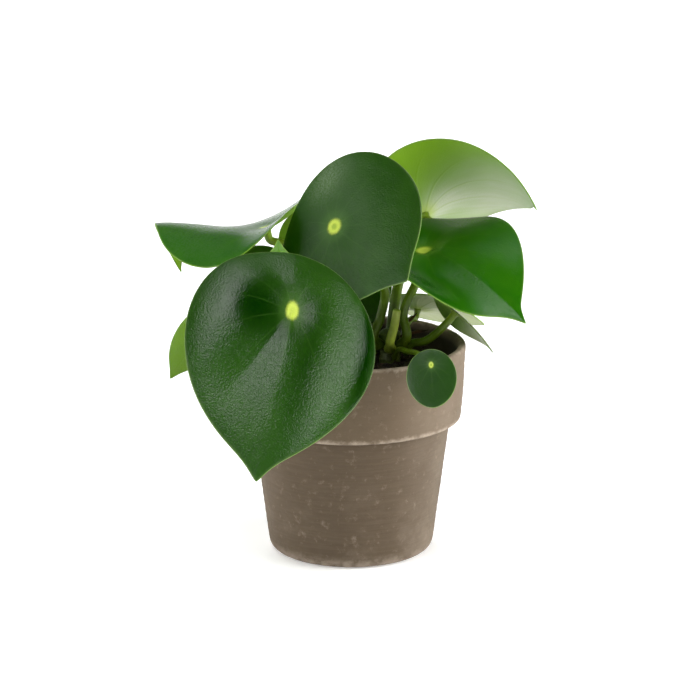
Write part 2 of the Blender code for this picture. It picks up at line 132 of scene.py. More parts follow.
class Wiring:
    """Adds nodes to one node tree and links them."""

    def __init__(self, tree: bpy.types.NodeTree) -> None:
        """Keep the tree that the nodes go into."""
        self.tree = tree

    def node(self, kind: str, **settings: object) -> bpy.types.Node:
        """Add a node.

        Args:
            kind: the node's type name.
            settings: properties to set on it.

        Returns:
            The new node.
        """
        made = self.tree.nodes.new(kind)
        for name, value in settings.items():
            setattr(made, name, value)
        return made

    def feed(self, socket: Socket, value: Feed) -> None:
        """Link a socket to an input, or set the input's own value.

        Args:
            socket: the input.
            value: an output to link, or a plain value.
        """
        if isinstance(value, bpy.types.NodeSocket):
            self.tree.links.new(value, socket)
        else:
            socket.default_value = value

    def math(self, operation: str, *values: Feed, clamp: bool = False) -> Socket:
        """Add a Math node.

        Args:
            operation: what it does.
            values: its inputs in order.
            clamp: whether the result is kept between 0 and 1.

        Returns:
            The node's output.
        """
        made = self.node("ShaderNodeMath", operation=operation, use_clamp=clamp)
        for socket, value in zip(made.inputs, values):
            self.feed(socket, value)
        return made.outputs[0]

    def times(self, first: Feed, second: Feed, clamp: bool = False) -> Socket:
        """Multiply two values."""
        return self.math("MULTIPLY", first, second, clamp=clamp)

    def plus(self, first: Feed, second: Feed, clamp: bool = False) -> Socket:
        """Add two values."""
        return self.math("ADD", first, second, clamp=clamp)

    def minus(self, first: Feed, second: Feed) -> Socket:
        """Take the second value from the first."""
        return self.math("SUBTRACT", first, second)

    def larger(self, first: Feed, second: Feed) -> Socket:
        """Keep the larger of two values."""
        return self.math("MAXIMUM", first, second)

    def length(self, x: Socket, y: Socket) -> Socket:
        """Return the length of the line whose two sides are x and y."""
        return self.math("SQRT", self.plus(self.times(x, x), self.times(y, y)))

    def here(self) -> Socket:
        """Return the place in the object's own frame."""
        return self.node("ShaderNodeTexCoord").outputs["Object"]

    def split(self, vector: Socket) -> list[Socket]:
        """Split a vector.

        Args:
            vector: the vector.

        Returns:
            Its X, Y and Z.
        """
        made = self.node("ShaderNodeSeparateXYZ")
        self.feed(made.inputs[0], vector)
        return list(made.outputs)

    def join(self, x: Feed, y: Feed, z: Feed) -> Socket:
        """Make a vector of three numbers.

        Args:
            x: the first number.
            y: the second number.
            z: the third number.

        Returns:
            The vector.
        """
        made = self.node("ShaderNodeCombineXYZ")
        for socket, value in zip(made.inputs, (x, y, z)):
            self.feed(socket, value)
        return made.outputs[0]

    def round_place(self, angle: Socket, run: Socket, wide: float, stretch: float) -> Socket:
        """Return a place that comes back to itself after a full turn, so that a noise has no seam.

        Args:
            angle: the angle round the axis, in radians.
            run: the distance along or away from the axis.
            wide: the radius of the circle that the angle runs on.
            stretch: what the distance is multiplied by.

        Returns:
            The place.
        """
        cosine, sine = self.math("COSINE", angle), self.math("SINE", angle)
        return self.join(self.times(cosine, wide), self.times(sine, wide), self.times(run, stretch))

    def rise(self, value: Feed, low: Feed, high: Feed, start: Feed = 0.0, end: Feed = 1.0) -> Socket:
        """Map a value smoothly from one range to another.

        Args:
            value: what is mapped.
            low: where the rise begins.
            high: where it ends.
            start: the result below low.
            end: the result above high.

        Returns:
            The mapped value.
        """
        made = self.node("ShaderNodeMapRange", interpolation_type="SMOOTHSTEP")
        for socket, given in zip(made.inputs, (value, low, high, start, end)):
            self.feed(socket, given)
        return made.outputs[0]

    def mix(self, share: Feed, first: Feed, second: Feed, blend: str = "MIX") -> Socket:
        """Mix two colours.

        Args:
            share: how much of the second colour shows.
            first: a linear colour or a socket.
            second: a linear colour or a socket.
            blend: how the two are put together.

        Returns:
            The mixed colour.
        """
        made = self.node("ShaderNodeMix", data_type="RGBA", blend_type=blend)
        for socket, value in zip((made.inputs[0], made.inputs[6], made.inputs[7]), (share, first, second)):
            self.feed(socket, value)
        return made.outputs[2]

    def paint(self, under: Feed, share: Feed, seen: Seen) -> Socket:
        """Lay a colour, given as seen, over another by a share."""
        return self.mix(share, under, linear(seen))

    def layers(self, under: Feed, coats: Sequence[tuple[Feed, Seen]]) -> Socket:
        """Lay several colours over another, one after the other.

        Args:
            under: the colour below them.
            coats: the share and the colour, as seen, of each.

        Returns:
            The colour that shows.
        """
        for share, seen in coats:
            under = self.paint(under, share, seen)
        return under

    def noise(self, vector: Socket, scale: Feed, detail: float = 2.0, rough: float = 0.5) -> Socket:
        """Return a noise value.

        Args:
            vector: the place that it is read at.
            scale: features for each metre.
            detail: how many finer layers it has.
            rough: how strong these are.

        Returns:
            The noise, about 0.5 on average.
        """
        made = self.node("ShaderNodeTexNoise")
        for name, value in (("Vector", vector), ("Scale", scale), ("Detail", detail), ("Roughness", rough)):
            self.feed(made.inputs[name], value)
        return made.outputs[0]

    def cells(self, vector: Socket, scale: Feed, soft: bool = True) -> Socket:
        """Return the distance to the nearest of many scattered points.

        Args:
            vector: the place that it is read at.
            scale: points for each metre.
            soft: whether neighbouring cells run into each other.

        Returns:
            The distance, in spacings.
        """
        made = self.node("ShaderNodeTexVoronoi", feature="SMOOTH_F1" if soft else "F1")
        for name, value in (("Vector", vector), ("Scale", scale)):
            self.feed(made.inputs[name], value)
        return made.outputs[0]

    def stored(self, name: str) -> Socket:
        """Return the three numbers that a mesh keeps at each point under a name."""
        return self.node("ShaderNodeAttribute", attribute_name=name).outputs["Vector"]

    def bump(self, height: Socket, depth: float) -> Socket:
        """Raise the normals by a height.

        Args:
            height: the height, as a share of the depth.
            depth: the full range in metres.

        Returns:
            The normals.
        """
        made = self.node("ShaderNodeBump")
        for name, value in (("Strength", 1.0), ("Distance", depth), ("Height", height)):
            self.feed(made.inputs[name], value)
        return made.outputs[0]

    def coat(self, shader: bpy.types.Node, colour: Socket, roughness: Feed, normal: Socket) -> None:
        """Feed the shader's colour, roughness and normal.

        Args:
            shader: the material's main shader.
            colour: its base colour.
            roughness: its roughness.
            normal: its raised normals.
        """
        for name, value in (("Base Color", colour), ("Roughness", roughness), ("Normal", normal)):
            self.feed(shader.inputs[name], value)


class EffectGroup:
    """A shader node group with named inputs and outputs, built once and used by several materials."""

    title = ""
    takes: tuple[tuple[str, str, object], ...] = ()
    gives: tuple[tuple[str, str], ...] = ()

    def tree(self) -> bpy.types.NodeTree:
        """Return the group's tree, and build it the first time.

        Returns:
            The node tree of this effect.
        """
        known = bpy.data.node_groups.get(self.title)
        if known is not None:
            return known
        tree = bpy.data.node_groups.new(self.title, "ShaderNodeTree")
        for name, kind, start in self.takes:
            socket = tree.interface.new_socket(name=name, in_out="INPUT", socket_type=kind)
            if start is not None:
                socket.default_value = start
        for name, kind in self.gives:
            tree.interface.new_socket(name=name, in_out="OUTPUT", socket_type=kind)
        wiring = Wiring(tree)
        entry = wiring.node("NodeGroupInput")
        leave = wiring.node("NodeGroupOutput")
        made = self.wire(wiring, {socket.name: socket for socket in entry.outputs if socket.name})
        for name, socket in made.items():
            tree.links.new(socket, leave.inputs[name])
        return tree

    def wire(self, wiring: Wiring, given: dict[str, Socket]) -> dict[str, Socket]:
        """Add the group's own nodes and return a socket for each output."""
        raise NotImplementedError

    def use(self, wiring: Wiring, **inputs: Feed) -> list[Socket]:
        """Place the group in a material and feed it.

        Args:
            wiring: the material's wiring.
            inputs: a value for each input, with _ for a space in its name.

        Returns:
            The group's outputs in the order of gives.
        """
        made = wiring.node("ShaderNodeGroup", node_tree=self.tree())
        for name, value in inputs.items():
            wiring.feed(made.inputs[name.replace("_", " ")], value)
        return list(made.outputs)


NUMBER = "NodeSocketFloat"
PLACE = "NodeSocketVector"


class MottleEffect(EffectGroup):
    """Soft uneven patches of light and dark, broken by finer ones."""

    title = "mottle"
    takes = (("Place", PLACE, None), ("Scale", NUMBER, 40.0), ("Contrast", NUMBER, 1.0))
    gives = (("Patches", NUMBER), ("Fine", NUMBER))

    def wire(self, wiring: Wiring, given: dict[str, Socket]) -> dict[str, Socket]:
        """Layer a coarse noise and one six times finer.

        Args:
            wiring: the group's wiring.
            given: its inputs by name.

        Returns:
            A socket for each output.
        """
        place, scale = given["Place"], given["Scale"]
        coarse = wiring.noise(place, scale, 3.0, 0.55)
        fine = wiring.noise(place, wiring.times(scale, 6.0), 3.0, 0.6)
        both = wiring.plus(wiring.times(coarse, 0.75), wiring.times(fine, 0.25))
        offset = wiring.times(wiring.minus(both, 0.5), given["Contrast"])
        return {"Patches": wiring.plus(offset, 0.5, clamp=True), "Fine": fine}


class SpeckEffect(EffectGroup):
    """Small scattered specks."""

    title = "specks"
    takes = (("Place", PLACE, None), ("Scale", NUMBER, 600.0), ("Size", NUMBER, 0.2), ("Cover", NUMBER, 0.5))
    gives = (("Specks", NUMBER),)

    def wire(self, wiring: Wiring, given: dict[str, Socket]) -> dict[str, Socket]:
        """Keep the middle of some cells, chosen by a coarser noise.

        Args:
            wiring: the group's wiring.
            given: its inputs by name.

        Returns:
            A socket for each output.
        """
        place, scale, size = given["Place"], given["Scale"], given["Size"]
        dot = wiring.rise(wiring.cells(place, scale, soft=False), size, wiring.times(size, 0.5))
        chosen = wiring.noise(place, wiring.times(scale, 0.37), 1.0)
        least = wiring.minus(1.0, given["Cover"])
        return {"Specks": wiring.times(dot, wiring.rise(chosen, least, wiring.plus(least, 0.06)))}


class SkinGrainEffect(EffectGroup):
    """The pebbled skin of a fleshy leaf or stalk: low rounded cells under a coarser swell."""

    title = "skin_grain"
    takes = (("Place", PLACE, None), ("Scale", NUMBER, 1300.0))
    gives = (("Height", NUMBER), ("Grain", NUMBER))

    def wire(self, wiring: Wiring, given: dict[str, Socket]) -> dict[str, Socket]:
        """Layer rounded cells with two noises.

        Args:
            wiring: the group's wiring.
            given: its inputs by name.

        Returns:
            A socket for each output.
        """
        place, scale = given["Place"], given["Scale"]
        grain = wiring.noise(place, wiring.times(scale, 0.8), 2.0, 0.55)
        swell = wiring.noise(place, wiring.times(scale, 0.22), 1.0)
        height = wiring.plus(wiring.times(wiring.cells(place, scale), -0.3), grain)
        return {"Height": wiring.plus(height, wiring.times(swell, 0.25)), "Grain": grain}


class BladeMapEffect(EffectGroup):
    """Where the veins, the spot over the stalk and the margin lie on a blade.

    Flat holds the distance in front of the stalk, the distance to the left, and the share of the way to
    the margin. Spot Place holds the same two distances in spot radii, and how dark the spot's middle is.
    """

    title = "blade_map"
    takes = (("Flat", PLACE, None), ("Spot Place", PLACE, None), ("Vein Width", NUMBER, 0.0007))
    gives = tuple((name, NUMBER)
                  for name in ("Veins", "Streaks", "Fine Streaks", "Spot", "Core", "Halo", "Margin"))

    def wire(self, wiring: Wiring, given: dict[str, Socket]) -> dict[str, Socket]:
        """Work out the bearing and the distance from the stalk, and read the marks from them.

        Args:
            wiring: the group's wiring.
            given: its inputs by name.

        Returns:
            A socket for each output.
        """
        front, left, share = wiring.split(given["Flat"])
        away = wiring.length(front, left)
        swept = wiring.times(wiring.times(share, share), VEIN_SWEEP)
        start = wiring.math("DIVIDE", wiring.math("ARCTAN2", left, front), wiring.minus(1.0, swept))
        step = math.radians(VEIN_STEP)
        turns = wiring.plus(wiring.math("DIVIDE", start, step), 0.5)
        off = wiring.math("ABSOLUTE", wiring.minus(wiring.math("FRACT", turns), 0.5))
        apart = wiring.times(wiring.times(off, step), away)
        veins = wiring.times(wiring.rise(apart, given["Vein Width"], 0.0), wiring.rise(share, 0.95, 0.25))
        across, along, middle = wiring.split(given["Spot Place"])
        uneven = wiring.minus(wiring.noise(given["Flat"], 900.0, 2.0), 0.5)
        reach = wiring.plus(wiring.length(across, along), wiring.times(uneven, 0.9))
        return {
            "Veins": veins,
            "Streaks": wiring.noise(wiring.round_place(start, away, 8.0, 50.0), 1.0, 3.0, 0.6),
            "Fine Streaks": wiring.noise(wiring.round_place(start, away, 36.0, 330.0), 1.0, 2.0, 0.5),
            "Spot": wiring.rise(reach, 1.25, 0.65),
            "Core": wiring.times(wiring.rise(reach, 0.6, 0.2), middle),
            "Halo": wiring.rise(reach, 3.0, 0.8),
            "Margin": wiring.rise(share, 0.982, 1.0),
        }


# Finishes


def new_material(name: str) -> tuple[bpy.types.Material, Wiring, bpy.types.Node, bpy.types.Node]:
    """Start a material.

    Args:
        name: the material's name.

    Returns:
        The material, its wiring, its main shader and its output node.
    """
    material = bpy.data.materials.new(name)
    material.use_nodes = True
    wiring = Wiring(material.node_tree)
    nodes = material.node_tree.nodes
    return material, wiring, nodes["Principled BSDF"], nodes["Material Output"]


@dataclass(frozen=True)
class Greens:
    """The colours of a blade, as seen."""

    deep: Seen
    light: Seen
    # the colour of painted shade on the upper face
    painted_shade: Seen
    vein: Seen
    under: Seen
    under_light: Seen
    # the colour of painted light on the underside
    under_pale: Seen
    through: Seen
    margin: Seen
    spot: Seen = (190, 208, 78)
    spot_core: Seen = (120, 150, 44)
    # the colour of a painted sheen
    painted_sheen: Seen = (118, 138, 104)


GREENS = {
    Age.OLD: Greens(deep=(22, 54, 8), light=(40, 73, 18), painted_shade=(0, 26, 0), vein=(74, 110, 46),
                    under=(104, 146, 36), under_light=(146, 172, 90), under_pale=(196, 204, 172),
                    through=(110, 160, 20), margin=(104, 122, 76)),
    Age.GROWN: Greens(deep=(4, 74, 0), light=(44, 96, 6), painted_shade=(0, 54, 0), vein=(84, 130, 36),
                      under=(112, 160, 2), under_light=(132, 170, 34), under_pale=(206, 212, 184),
                      through=(140, 196, 6), margin=(120, 142, 78)),
    Age.FRESH: Greens(deep=(62, 112, 4), light=(92, 144, 16), painted_shade=(40, 96, 0), vein=(130, 170, 60),
                      under=(112, 156, 40), under_light=(150, 180, 80), under_pale=(232, 238, 192),
                      through=(150, 200, 20), margin=(150, 176, 80)),
}


@dataclass(frozen=True)
class BladeTopFinish:
    """The glossy upper face of a blade.

    veins, halo and margin say how strongly these marks show, and calm how much of the roughness and the grain
    is left in the darkest patches of painted shade.
    """

    name: str
    greens: Greens
    roughness: float = 0.15
    grain: float = 0.00024
    veins: float = 0.15
    halo: float = 0.4
    margin: float = 0.26
    calm: float = 0.45
    ior: float = 1.45
    see_through: float = 0.2

    def make(self) -> bpy.types.Material:
        """Build the material.

        Returns:
            A dark green skin with a pale spot, faint veins and a pale margin, darkened in patches by painted
            shade and lightened in places by a painted sheen.
        """
        material, wiring, shader, output = new_material(self.name)
        place = wiring.here()
        # The tone's first share is painted shade and its third a painted sheen.
        painted_shade_share, _, painted_sheen_share = wiring.split(wiring.stored("tone"))
        veins, streaks, fine_streaks, spot, core, halo, margin = BladeMapEffect().use(
            wiring, Flat=wiring.stored("flat"), Spot_Place=wiring.stored("spot"))
        patches, _ = MottleEffect().use(wiring, Place=place, Scale=45.0, Contrast=1.4)
        pebbles, grain = SkinGrainEffect().use(wiring, Place=place, Scale=1250.0)
        greens = self.greens
        colour = wiring.mix(patches, linear(greens.deep), linear(greens.light))
        # painted sheen, broken into flecks by the grain
        painted_sheen = wiring.times(painted_sheen_share, wiring.rise(grain, 0.38, 0.62, 0.3, 1.0))
        colour = wiring.layers(colour, (
            (wiring.rise(streaks, 0.42, 0.75, 0.0, 0.3), greens.light),
            # painted shade, then a painted sheen
            (painted_shade_share, greens.painted_shade),
            (painted_sheen, greens.painted_sheen),
            (wiring.times(veins, self.veins), greens.vein),
            (wiring.times(halo, self.halo), greens.vein),
            (spot, greens.spot),
            (core, greens.spot_core),
            (wiring.times(margin, self.margin), greens.margin),
        ))
        calm = wiring.rise(painted_shade_share, 0.0, 1.0, 1.0, self.calm)
        shine = wiring.rise(grain, 0.3, 0.7, self.roughness - 0.04, self.roughness + 0.06)
        raised = wiring.times(wiring.plus(pebbles, wiring.times(fine_streaks, 0.35)), calm)
        wiring.coat(shader, colour, wiring.times(shine, calm), wiring.bump(raised, self.grain))
        shader.inputs["IOR"].default_value = self.ior
        light_through(wiring, shader, output, greens.through, self.see_through)
        return material


def light_through(wiring: Wiring, shader: bpy.types.Node, output: bpy.types.Node, tint: Seen,
                  share: float) -> None:
    """Let a share of the light through a blade.

    Args:
        wiring: the material's wiring.
        shader: the shader of the lit side.
        output: the material's output node.
        tint: the colour of light that has come through, as seen.
        share: how much of the light goes through.
    """
    behind = wiring.node("ShaderNodeBsdfTranslucent")
    behind.inputs["Color"].default_value = linear(tint)
    both = wiring.node("ShaderNodeMixShader")
    both.inputs[0].default_value = share
    wiring.feed(both.inputs[1], shader.outputs[0])
    wiring.feed(both.inputs[2], behind.outputs[0])
    wiring.feed(output.inputs["Surface"], both.outputs[0])


@dataclass(frozen=True)
class BladeUnderFinish:
    """The pale, satin underside of a blade."""

    name: str
    greens: Greens
    rim: Seen = (92, 70, 62)
    roughness: float = 0.5
    relief: float = 0.00012
    see_through: float = 0.35

    def make(self) -> bpy.types.Material:
        """Build the material.

        Returns:
            A pale green skin with raised veins and fine lines that run out from the stalk, painted paler in
            streaks where it is lit and catches reflections.
        """
        material, wiring, shader, output = new_material(self.name)
        place = wiring.here()
        # painted light: the tone's second share makes the underside paler where it is lit and catches
        # reflections
        pale = wiring.split(wiring.stored("tone"))[1]
        veins, streaks, _, _, _, halo, margin = BladeMapEffect().use(
            wiring, Flat=wiring.stored("flat"), Spot_Place=wiring.stored("spot"), Vein_Width=0.0011)
        patches, _ = MottleEffect().use(wiring, Place=place, Scale=35.0, Contrast=1.2)
        pebbles, grain = SkinGrainEffect().use(wiring, Place=place, Scale=1300.0)
        greens = self.greens
        colour = wiring.mix(patches, linear(greens.under), linear(greens.under_light))
        lines = wiring.rise(streaks, 0.3, 0.75, 0.88, 1.06)
        colour = wiring.layers(colour, (
            # painted light, in pale streaks
            (wiring.times(pale, lines, clamp=True), greens.under_pale),
            (wiring.times(veins, 0.25), greens.under_light),
            (wiring.times(halo, 0.6), greens.spot),
            (wiring.times(margin, 0.55), self.rim),
        ))
        satin = wiring.rise(grain, 0.3, 0.7, self.roughness - 0.06, self.roughness + 0.08)
        raised = wiring.plus(pebbles, wiring.times(veins, 1.4))
        wiring.coat(shader, colour, satin, wiring.bump(raised, self.relief))
        light_through(wiring, shader, output, greens.through, self.see_through)
        return material


@dataclass(frozen=True)
class BladeEdgeFinish:
    """The thin pale rim round a blade."""

    name: str
    greens: Greens
    brown: float = 0.0
    worn: Seen = (74, 52, 30)
    relief: float = 0.00008
    see_through: float = 0.3

    def make(self) -> bpy.types.Material:
        """Build the material.

        Returns:
            A pale green rim, browned in places where the leaf is damaged.
        """
        material, wiring, shader, output = new_material(self.name)
        place = wiring.here()
        patches, fine = MottleEffect().use(wiring, Place=place, Scale=160.0, Contrast=2.0)
        pebbles, grain = SkinGrainEffect().use(wiring, Place=place, Scale=1300.0)
        colour = wiring.mix(patches, linear(self.greens.margin), linear(self.greens.under))
        if self.brown > 0:
            colour = wiring.paint(colour, wiring.rise(fine, 0.62 - 0.25 * self.brown, 0.66), self.worn)
        wiring.coat(shader, colour, wiring.rise(grain, 0.3, 0.7, 0.36, 0.52),
                    wiring.bump(pebbles, self.relief))
        light_through(wiring, shader, output, self.greens.through, self.see_through)
        return material


@dataclass(frozen=True)
class StalkFinish:
    """The skin of a stalk or stem, which changes colour along its length."""

    name: str
    foot: Seen
    middle: Seen
    neck: Seen
    flecks: Seen = (150, 160, 90)
    shade: Seen = (110, 110, 110)
    roughness: float = 0.36
    ridges: float = 0.0001

    def make(self) -> bpy.types.Material:
        """Build the material.

        Returns:
            A fleshy skin with fine lengthwise lines and pale flecks.
        """
        material, wiring, shader, _ = new_material(self.name)
        share, around, length = wiring.split(wiring.stored("along"))
        place = wiring.here()
        patches, _ = MottleEffect().use(wiring, Place=place, Scale=110.0, Contrast=1.6)
        pebbles, grain = SkinGrainEffect().use(wiring, Place=place, Scale=1200.0)
        [specks] = SpeckEffect().use(wiring, Place=place, Scale=1400.0, Size=0.28, Cover=0.46)
        colour = wiring.mix(wiring.rise(share, 0.0, 0.35), linear(self.foot), linear(self.middle))
        colour = wiring.paint(colour, wiring.rise(share, 0.55, 1.0), self.neck)
        shaded = wiring.mix(patches, linear(self.shade), linear((255, 255, 255)))
        colour = wiring.mix(0.7, colour, shaded, "MULTIPLY")
        colour = wiring.paint(colour, wiring.times(specks, 0.5), self.flecks)
        ribs = wiring.noise(wiring.round_place(around, length, 0.01, 0.1), 320.0, 2.0)
        raised = wiring.plus(wiring.times(ribs, 2.0), pebbles)
        satin = wiring.rise(grain, 0.3, 0.7, self.roughness - 0.05, self.roughness + 0.1)
        wiring.coat(shader, colour, satin, wiring.bump(raised, self.ridges))
        shader.inputs["Specular IOR Level"].default_value = 0.35
        return material


@dataclass(frozen=True)
class ClayFinish:
    """Unglazed taupe clay, paler along its edges, where it is partly mineral efflorescence and partly painted
    highlight.

    wall_from is the radius just outside the inner wall, below which the painted shade of the inside shows.
    """

    name: str
    height: float
    collar_foot: float
    wall_from: float
    body: Seen = (95, 82, 66)
    dark: Seen = (84, 71, 56)
    shade: Seen = (70, 59, 46)
    bloom_and_highlight: Seen = (168, 154, 138)
    speck: Seen = (52, 44, 36)
    painted_inner_shade: Seen = (34, 30, 24)
    rim_band: float = 0.0022
    ledge_band: float = 0.0034
    foot_band: float = 0.0085
    ragged: float = 0.004
    inner_shade_band: float = 0.006
    relief: float = 0.00014

    def make(self) -> bpy.types.Material:
        """Build the material.

        Returns:
            A dry matt clay with throwing lines, specks and mineral efflorescence where it dries out, with
            painted highlight along its edges and flanks and painted shade below the collar and on the inner
            wall.
        """
        material, wiring, shader, _ = new_material(self.name)
        place = wiring.here()
        x, y, z = wiring.split(place)
        patches, broken = MottleEffect().use(wiring, Place=place, Scale=26.0, Contrast=1.4)
        fine, _ = MottleEffect().use(wiring, Place=place, Scale=240.0, Contrast=1.5)
        [pale] = SpeckEffect().use(wiring, Place=place, Scale=900.0, Size=0.24, Cover=0.38)
        [dark] = SpeckEffect().use(wiring, Place=place, Scale=760.0, Size=0.22, Cover=0.4)
        cloud = wiring.noise(place, 34.0, 4.0, 0.65)
        thrown = wiring.join(wiring.times(x, 0.06), wiring.times(y, 0.06), z)
        lines = wiring.noise(thrown, 900.0, 3.0, 0.65)
        level = wiring.plus(z, wiring.times(wiring.minus(fine, 0.5), self.ragged))
        # partly efflorescence, partly painted highlight along the rim, the collar's lower edge and the foot
        edges = wiring.times(self.edges(wiring, level), wiring.rise(broken, 0.25, 0.6))
        # paler cloudy patches, more of them towards the foot
        paler_low_patches = wiring.times(wiring.rise(cloud, 0.5, 0.72), wiring.rise(z, 0.06, 0.0, 0.02, 0.12))
        # painted highlight: paler towards the pot's left and right flanks
        painted_side_light = wiring.rise(wiring.math("ABSOLUTE", wiring.plus(x, 0.006)), 0.022, 0.062, 0.0, 0.2)
        colour = wiring.mix(patches, linear(self.dark), linear(self.body))
        colour = wiring.layers(colour, (
            # painted shade over the body below the collar
            (wiring.rise(z, self.collar_foot, self.collar_foot - 0.002, 0.0, 0.7), self.shade),
            (wiring.rise(lines, 0.35, 0.75, 0.0, 0.3), self.body),
            (wiring.rise(fine, 0.55, 0.9, 0.0, 0.22), self.bloom_and_highlight),
            (wiring.times(pale, 0.07), self.bloom_and_highlight),
            (wiring.times(dark, 0.5), self.speck),
            # efflorescence and painted highlight on the edges, and the paler patches low down
            (wiring.larger(edges, paler_low_patches), self.bloom_and_highlight),
            # painted highlight on the flanks
            (wiring.times(painted_side_light, wiring.rise(cloud, 0.3, 0.6, 0.6, 1.0)), self.bloom_and_highlight),
            # painted shade on the inner wall of the collar
            (wiring.times(self.inside(wiring, wiring.length(x, y), z), 0.8), self.painted_inner_shade),
        ))
        grit = wiring.noise(place, 2600.0, 2.0, 0.6)
        raised = wiring.plus(wiring.times(lines, 0.9), wiring.times(grit, 0.5))
        raised = wiring.minus(raised, wiring.times(dark, 0.6))
        wiring.coat(shader, colour, wiring.rise(fine, 0.2, 0.8, 0.78, 0.95),
                    wiring.bump(raised, self.relief))
        shader.inputs["Specular IOR Level"].default_value = 0.25
        return material

    def edges(self, wiring: Wiring, level: Socket) -> Socket:
        """Find the rim, the collar's lower edge and the foot, where efflorescence gathers and a highlight is
        painted.

        Args:
            wiring: the material's wiring.
            level: the height, made ragged.

        Returns:
            How strong the efflorescence and the painted highlight are at each place.
        """
        rim = wiring.rise(level, self.height - self.rim_band, self.height - 0.0002)
        below = wiring.rise(level, self.collar_foot - 0.0006, self.collar_foot + 0.0002)
        above = wiring.rise(level, self.collar_foot + self.ledge_band, self.collar_foot + 0.0006)
        foot = wiring.rise(level, self.foot_band, 0.0008)
        ledge = wiring.times(wiring.times(below, above), 0.62)
        return wiring.larger(wiring.larger(wiring.times(rim, 0.45), ledge), wiring.times(foot, 0.42))

    def inside(self, wiring: Wiring, across: Socket, z: Socket) -> Socket:
        """Find the inner wall of the collar, where shade is painted.

        Args:
            wiring: the material's wiring.
            across: the distance from the pot's axis.
            z: the height.

        Returns:
            1 on the inner wall and 0 elsewhere, with soft ends.
        """
        wall = wiring.rise(across, self.wall_from, self.wall_from - 0.0012)
        below_rim = wiring.rise(z, self.height - 0.001, self.height - self.inner_shade_band)
        above_foot = wiring.rise(z, self.collar_foot, self.collar_foot + 0.001)
        return wiring.times(wiring.times(wall, below_rim), above_foot)


@dataclass(frozen=True)
class SoilFinish:
    """Dark peaty potting soil."""

    name: str
    dark: Seen = (14, 11, 8)
    light: Seen = (48, 36, 26)
    fibre: Seen = (92, 70, 46)
    relief: float = 0.0007

    def make(self) -> bpy.types.Material:
        """Build the material.

        Returns:
            Crumbly dark soil with paler bits.
        """
        material, wiring, shader, _ = new_material(self.name)
        place = wiring.here()
        patches, fine = MottleEffect().use(wiring, Place=place, Scale=260.0, Contrast=2.4)
        [bits] = SpeckEffect().use(wiring, Place=place, Scale=520.0, Size=0.3, Cover=0.4)
        colour = wiring.mix(patches, linear(self.dark), linear(self.light))
        colour = wiring.paint(colour, wiring.times(bits, 0.6), self.fibre)
        raised = wiring.minus(wiring.noise(place, 900.0, 4.0, 0.65), wiring.cells(place, 700.0))
        wiring.coat(shader, colour, wiring.rise(fine, 0.3, 0.7, 0.82, 1.0), wiring.bump(raised, self.relief))
        return material


# Meshes


def round_turn(steps: int) -> np.ndarray:
    """Return angles evenly spaced round a full turn, in radians."""
    return np.linspace(0, 2 * math.pi, steps, endpoint=False)


def run_lengths(path: np.ndarray) -> np.ndarray:
    """Return the length along a path at each of its points."""
    return np.concatenate([[0], np.cumsum(np.linalg.norm(np.diff(path, axis=0), axis=1))])


def skin_faces(rings: int, steps: int, closed: bool = True) -> list[list[int]]:
    """Return the faces of a skin of rings, whose end points come after the rings.

    Args:
        rings: how many rings.
        steps: how many points in a ring.
        closed: whether a second end point closes the last ring.

    Returns:
        The point numbers of each face: the first end, ring after ring, and the last end.
    """
    j = np.arange(steps)
    k = (j + 1) % steps
    start = (np.arange(rings - 1) * steps)[:, None]
    last = (rings - 1) * steps
    head = np.stack([np.full(steps, rings * steps), j, k], axis=-1)
    quads = np.stack([start + j, start + steps + j, start + steps + k, start + k], axis=-1).reshape(-1, 4)
    tail = np.stack([np.full(steps, rings * steps + 1), last + k, last + j], axis=-1)
    return head.tolist() + quads.tolist() + (tail.tolist() if closed else [])


def joined_skins(name: str, skins: Sequence[Skin]) -> bpy.types.Mesh:
    """Make one mesh of several skins, each of rings of points with a point that closes each end.

    Args:
        name: the mesh's name.
        skins: the rings of each skin, as an array of ring, step round the ring, and coordinate, with its
            first and its last point.

    Returns:
        The mesh, shaded smooth.
    """
    points, faces = [], []
    for rows, first, last in skins:
        start = sum(len(group) for group in points)
        points.append(np.vstack([rows.reshape(-1, 3), [first], [last]]))
        faces += [[start + corner for corner in face] for face in skin_faces(*rows.shape[:2])]
    mesh = bpy.data.meshes.new(name)
    mesh.from_pydata(np.vstack(points).tolist(), [], faces)
    mesh.shade_smooth()
    mesh.update()
    return mesh


def set_point_vectors(mesh: bpy.types.Mesh, name: str, values: np.ndarray) -> None:
    """Keep three numbers at each point of a mesh, for its material to read."""
    attribute = mesh.attributes.new(name, "FLOAT_VECTOR", "POINT")
    attribute.data.foreach_set("vector", np.ascontiguousarray(values, dtype=np.float32).ravel())


def new_object(name: str, data: bpy.types.ID) -> bpy.types.Object:
    """Put a new object in the scene.

    Args:
        name: the object's name.
        data: its mesh, light or camera.

    Returns:
        The object.
    """
    made = bpy.data.objects.new(name, data)
    bpy.context.scene.collection.objects.link(made)
    return made


def add_piece(name: str, mesh: bpy.types.Mesh, finishes: Sequence[bpy.types.Material],
              stands_for: Sequence[str] = ()) -> None:
    """Put a piece on the body.

    Args:
        name: the piece's name.
        mesh: its mesh, in the plant's own frame.
        finishes: its materials in order.
        stands_for: the solids that it replaces.
    """
    piece = new_object(name, mesh)
    for finish in finishes:
        mesh.materials.append(finish)
    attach(piece, BODY)
    if stands_for:
        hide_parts(*stands_for)
    log.info("%s: %d faces", name, len(mesh.polygons))


def unit(vectors: np.ndarray) -> np.ndarray:
    """Scale vectors to a length of 1."""
    return vectors / np.linalg.norm(vectors, axis=-1, keepdims=True)


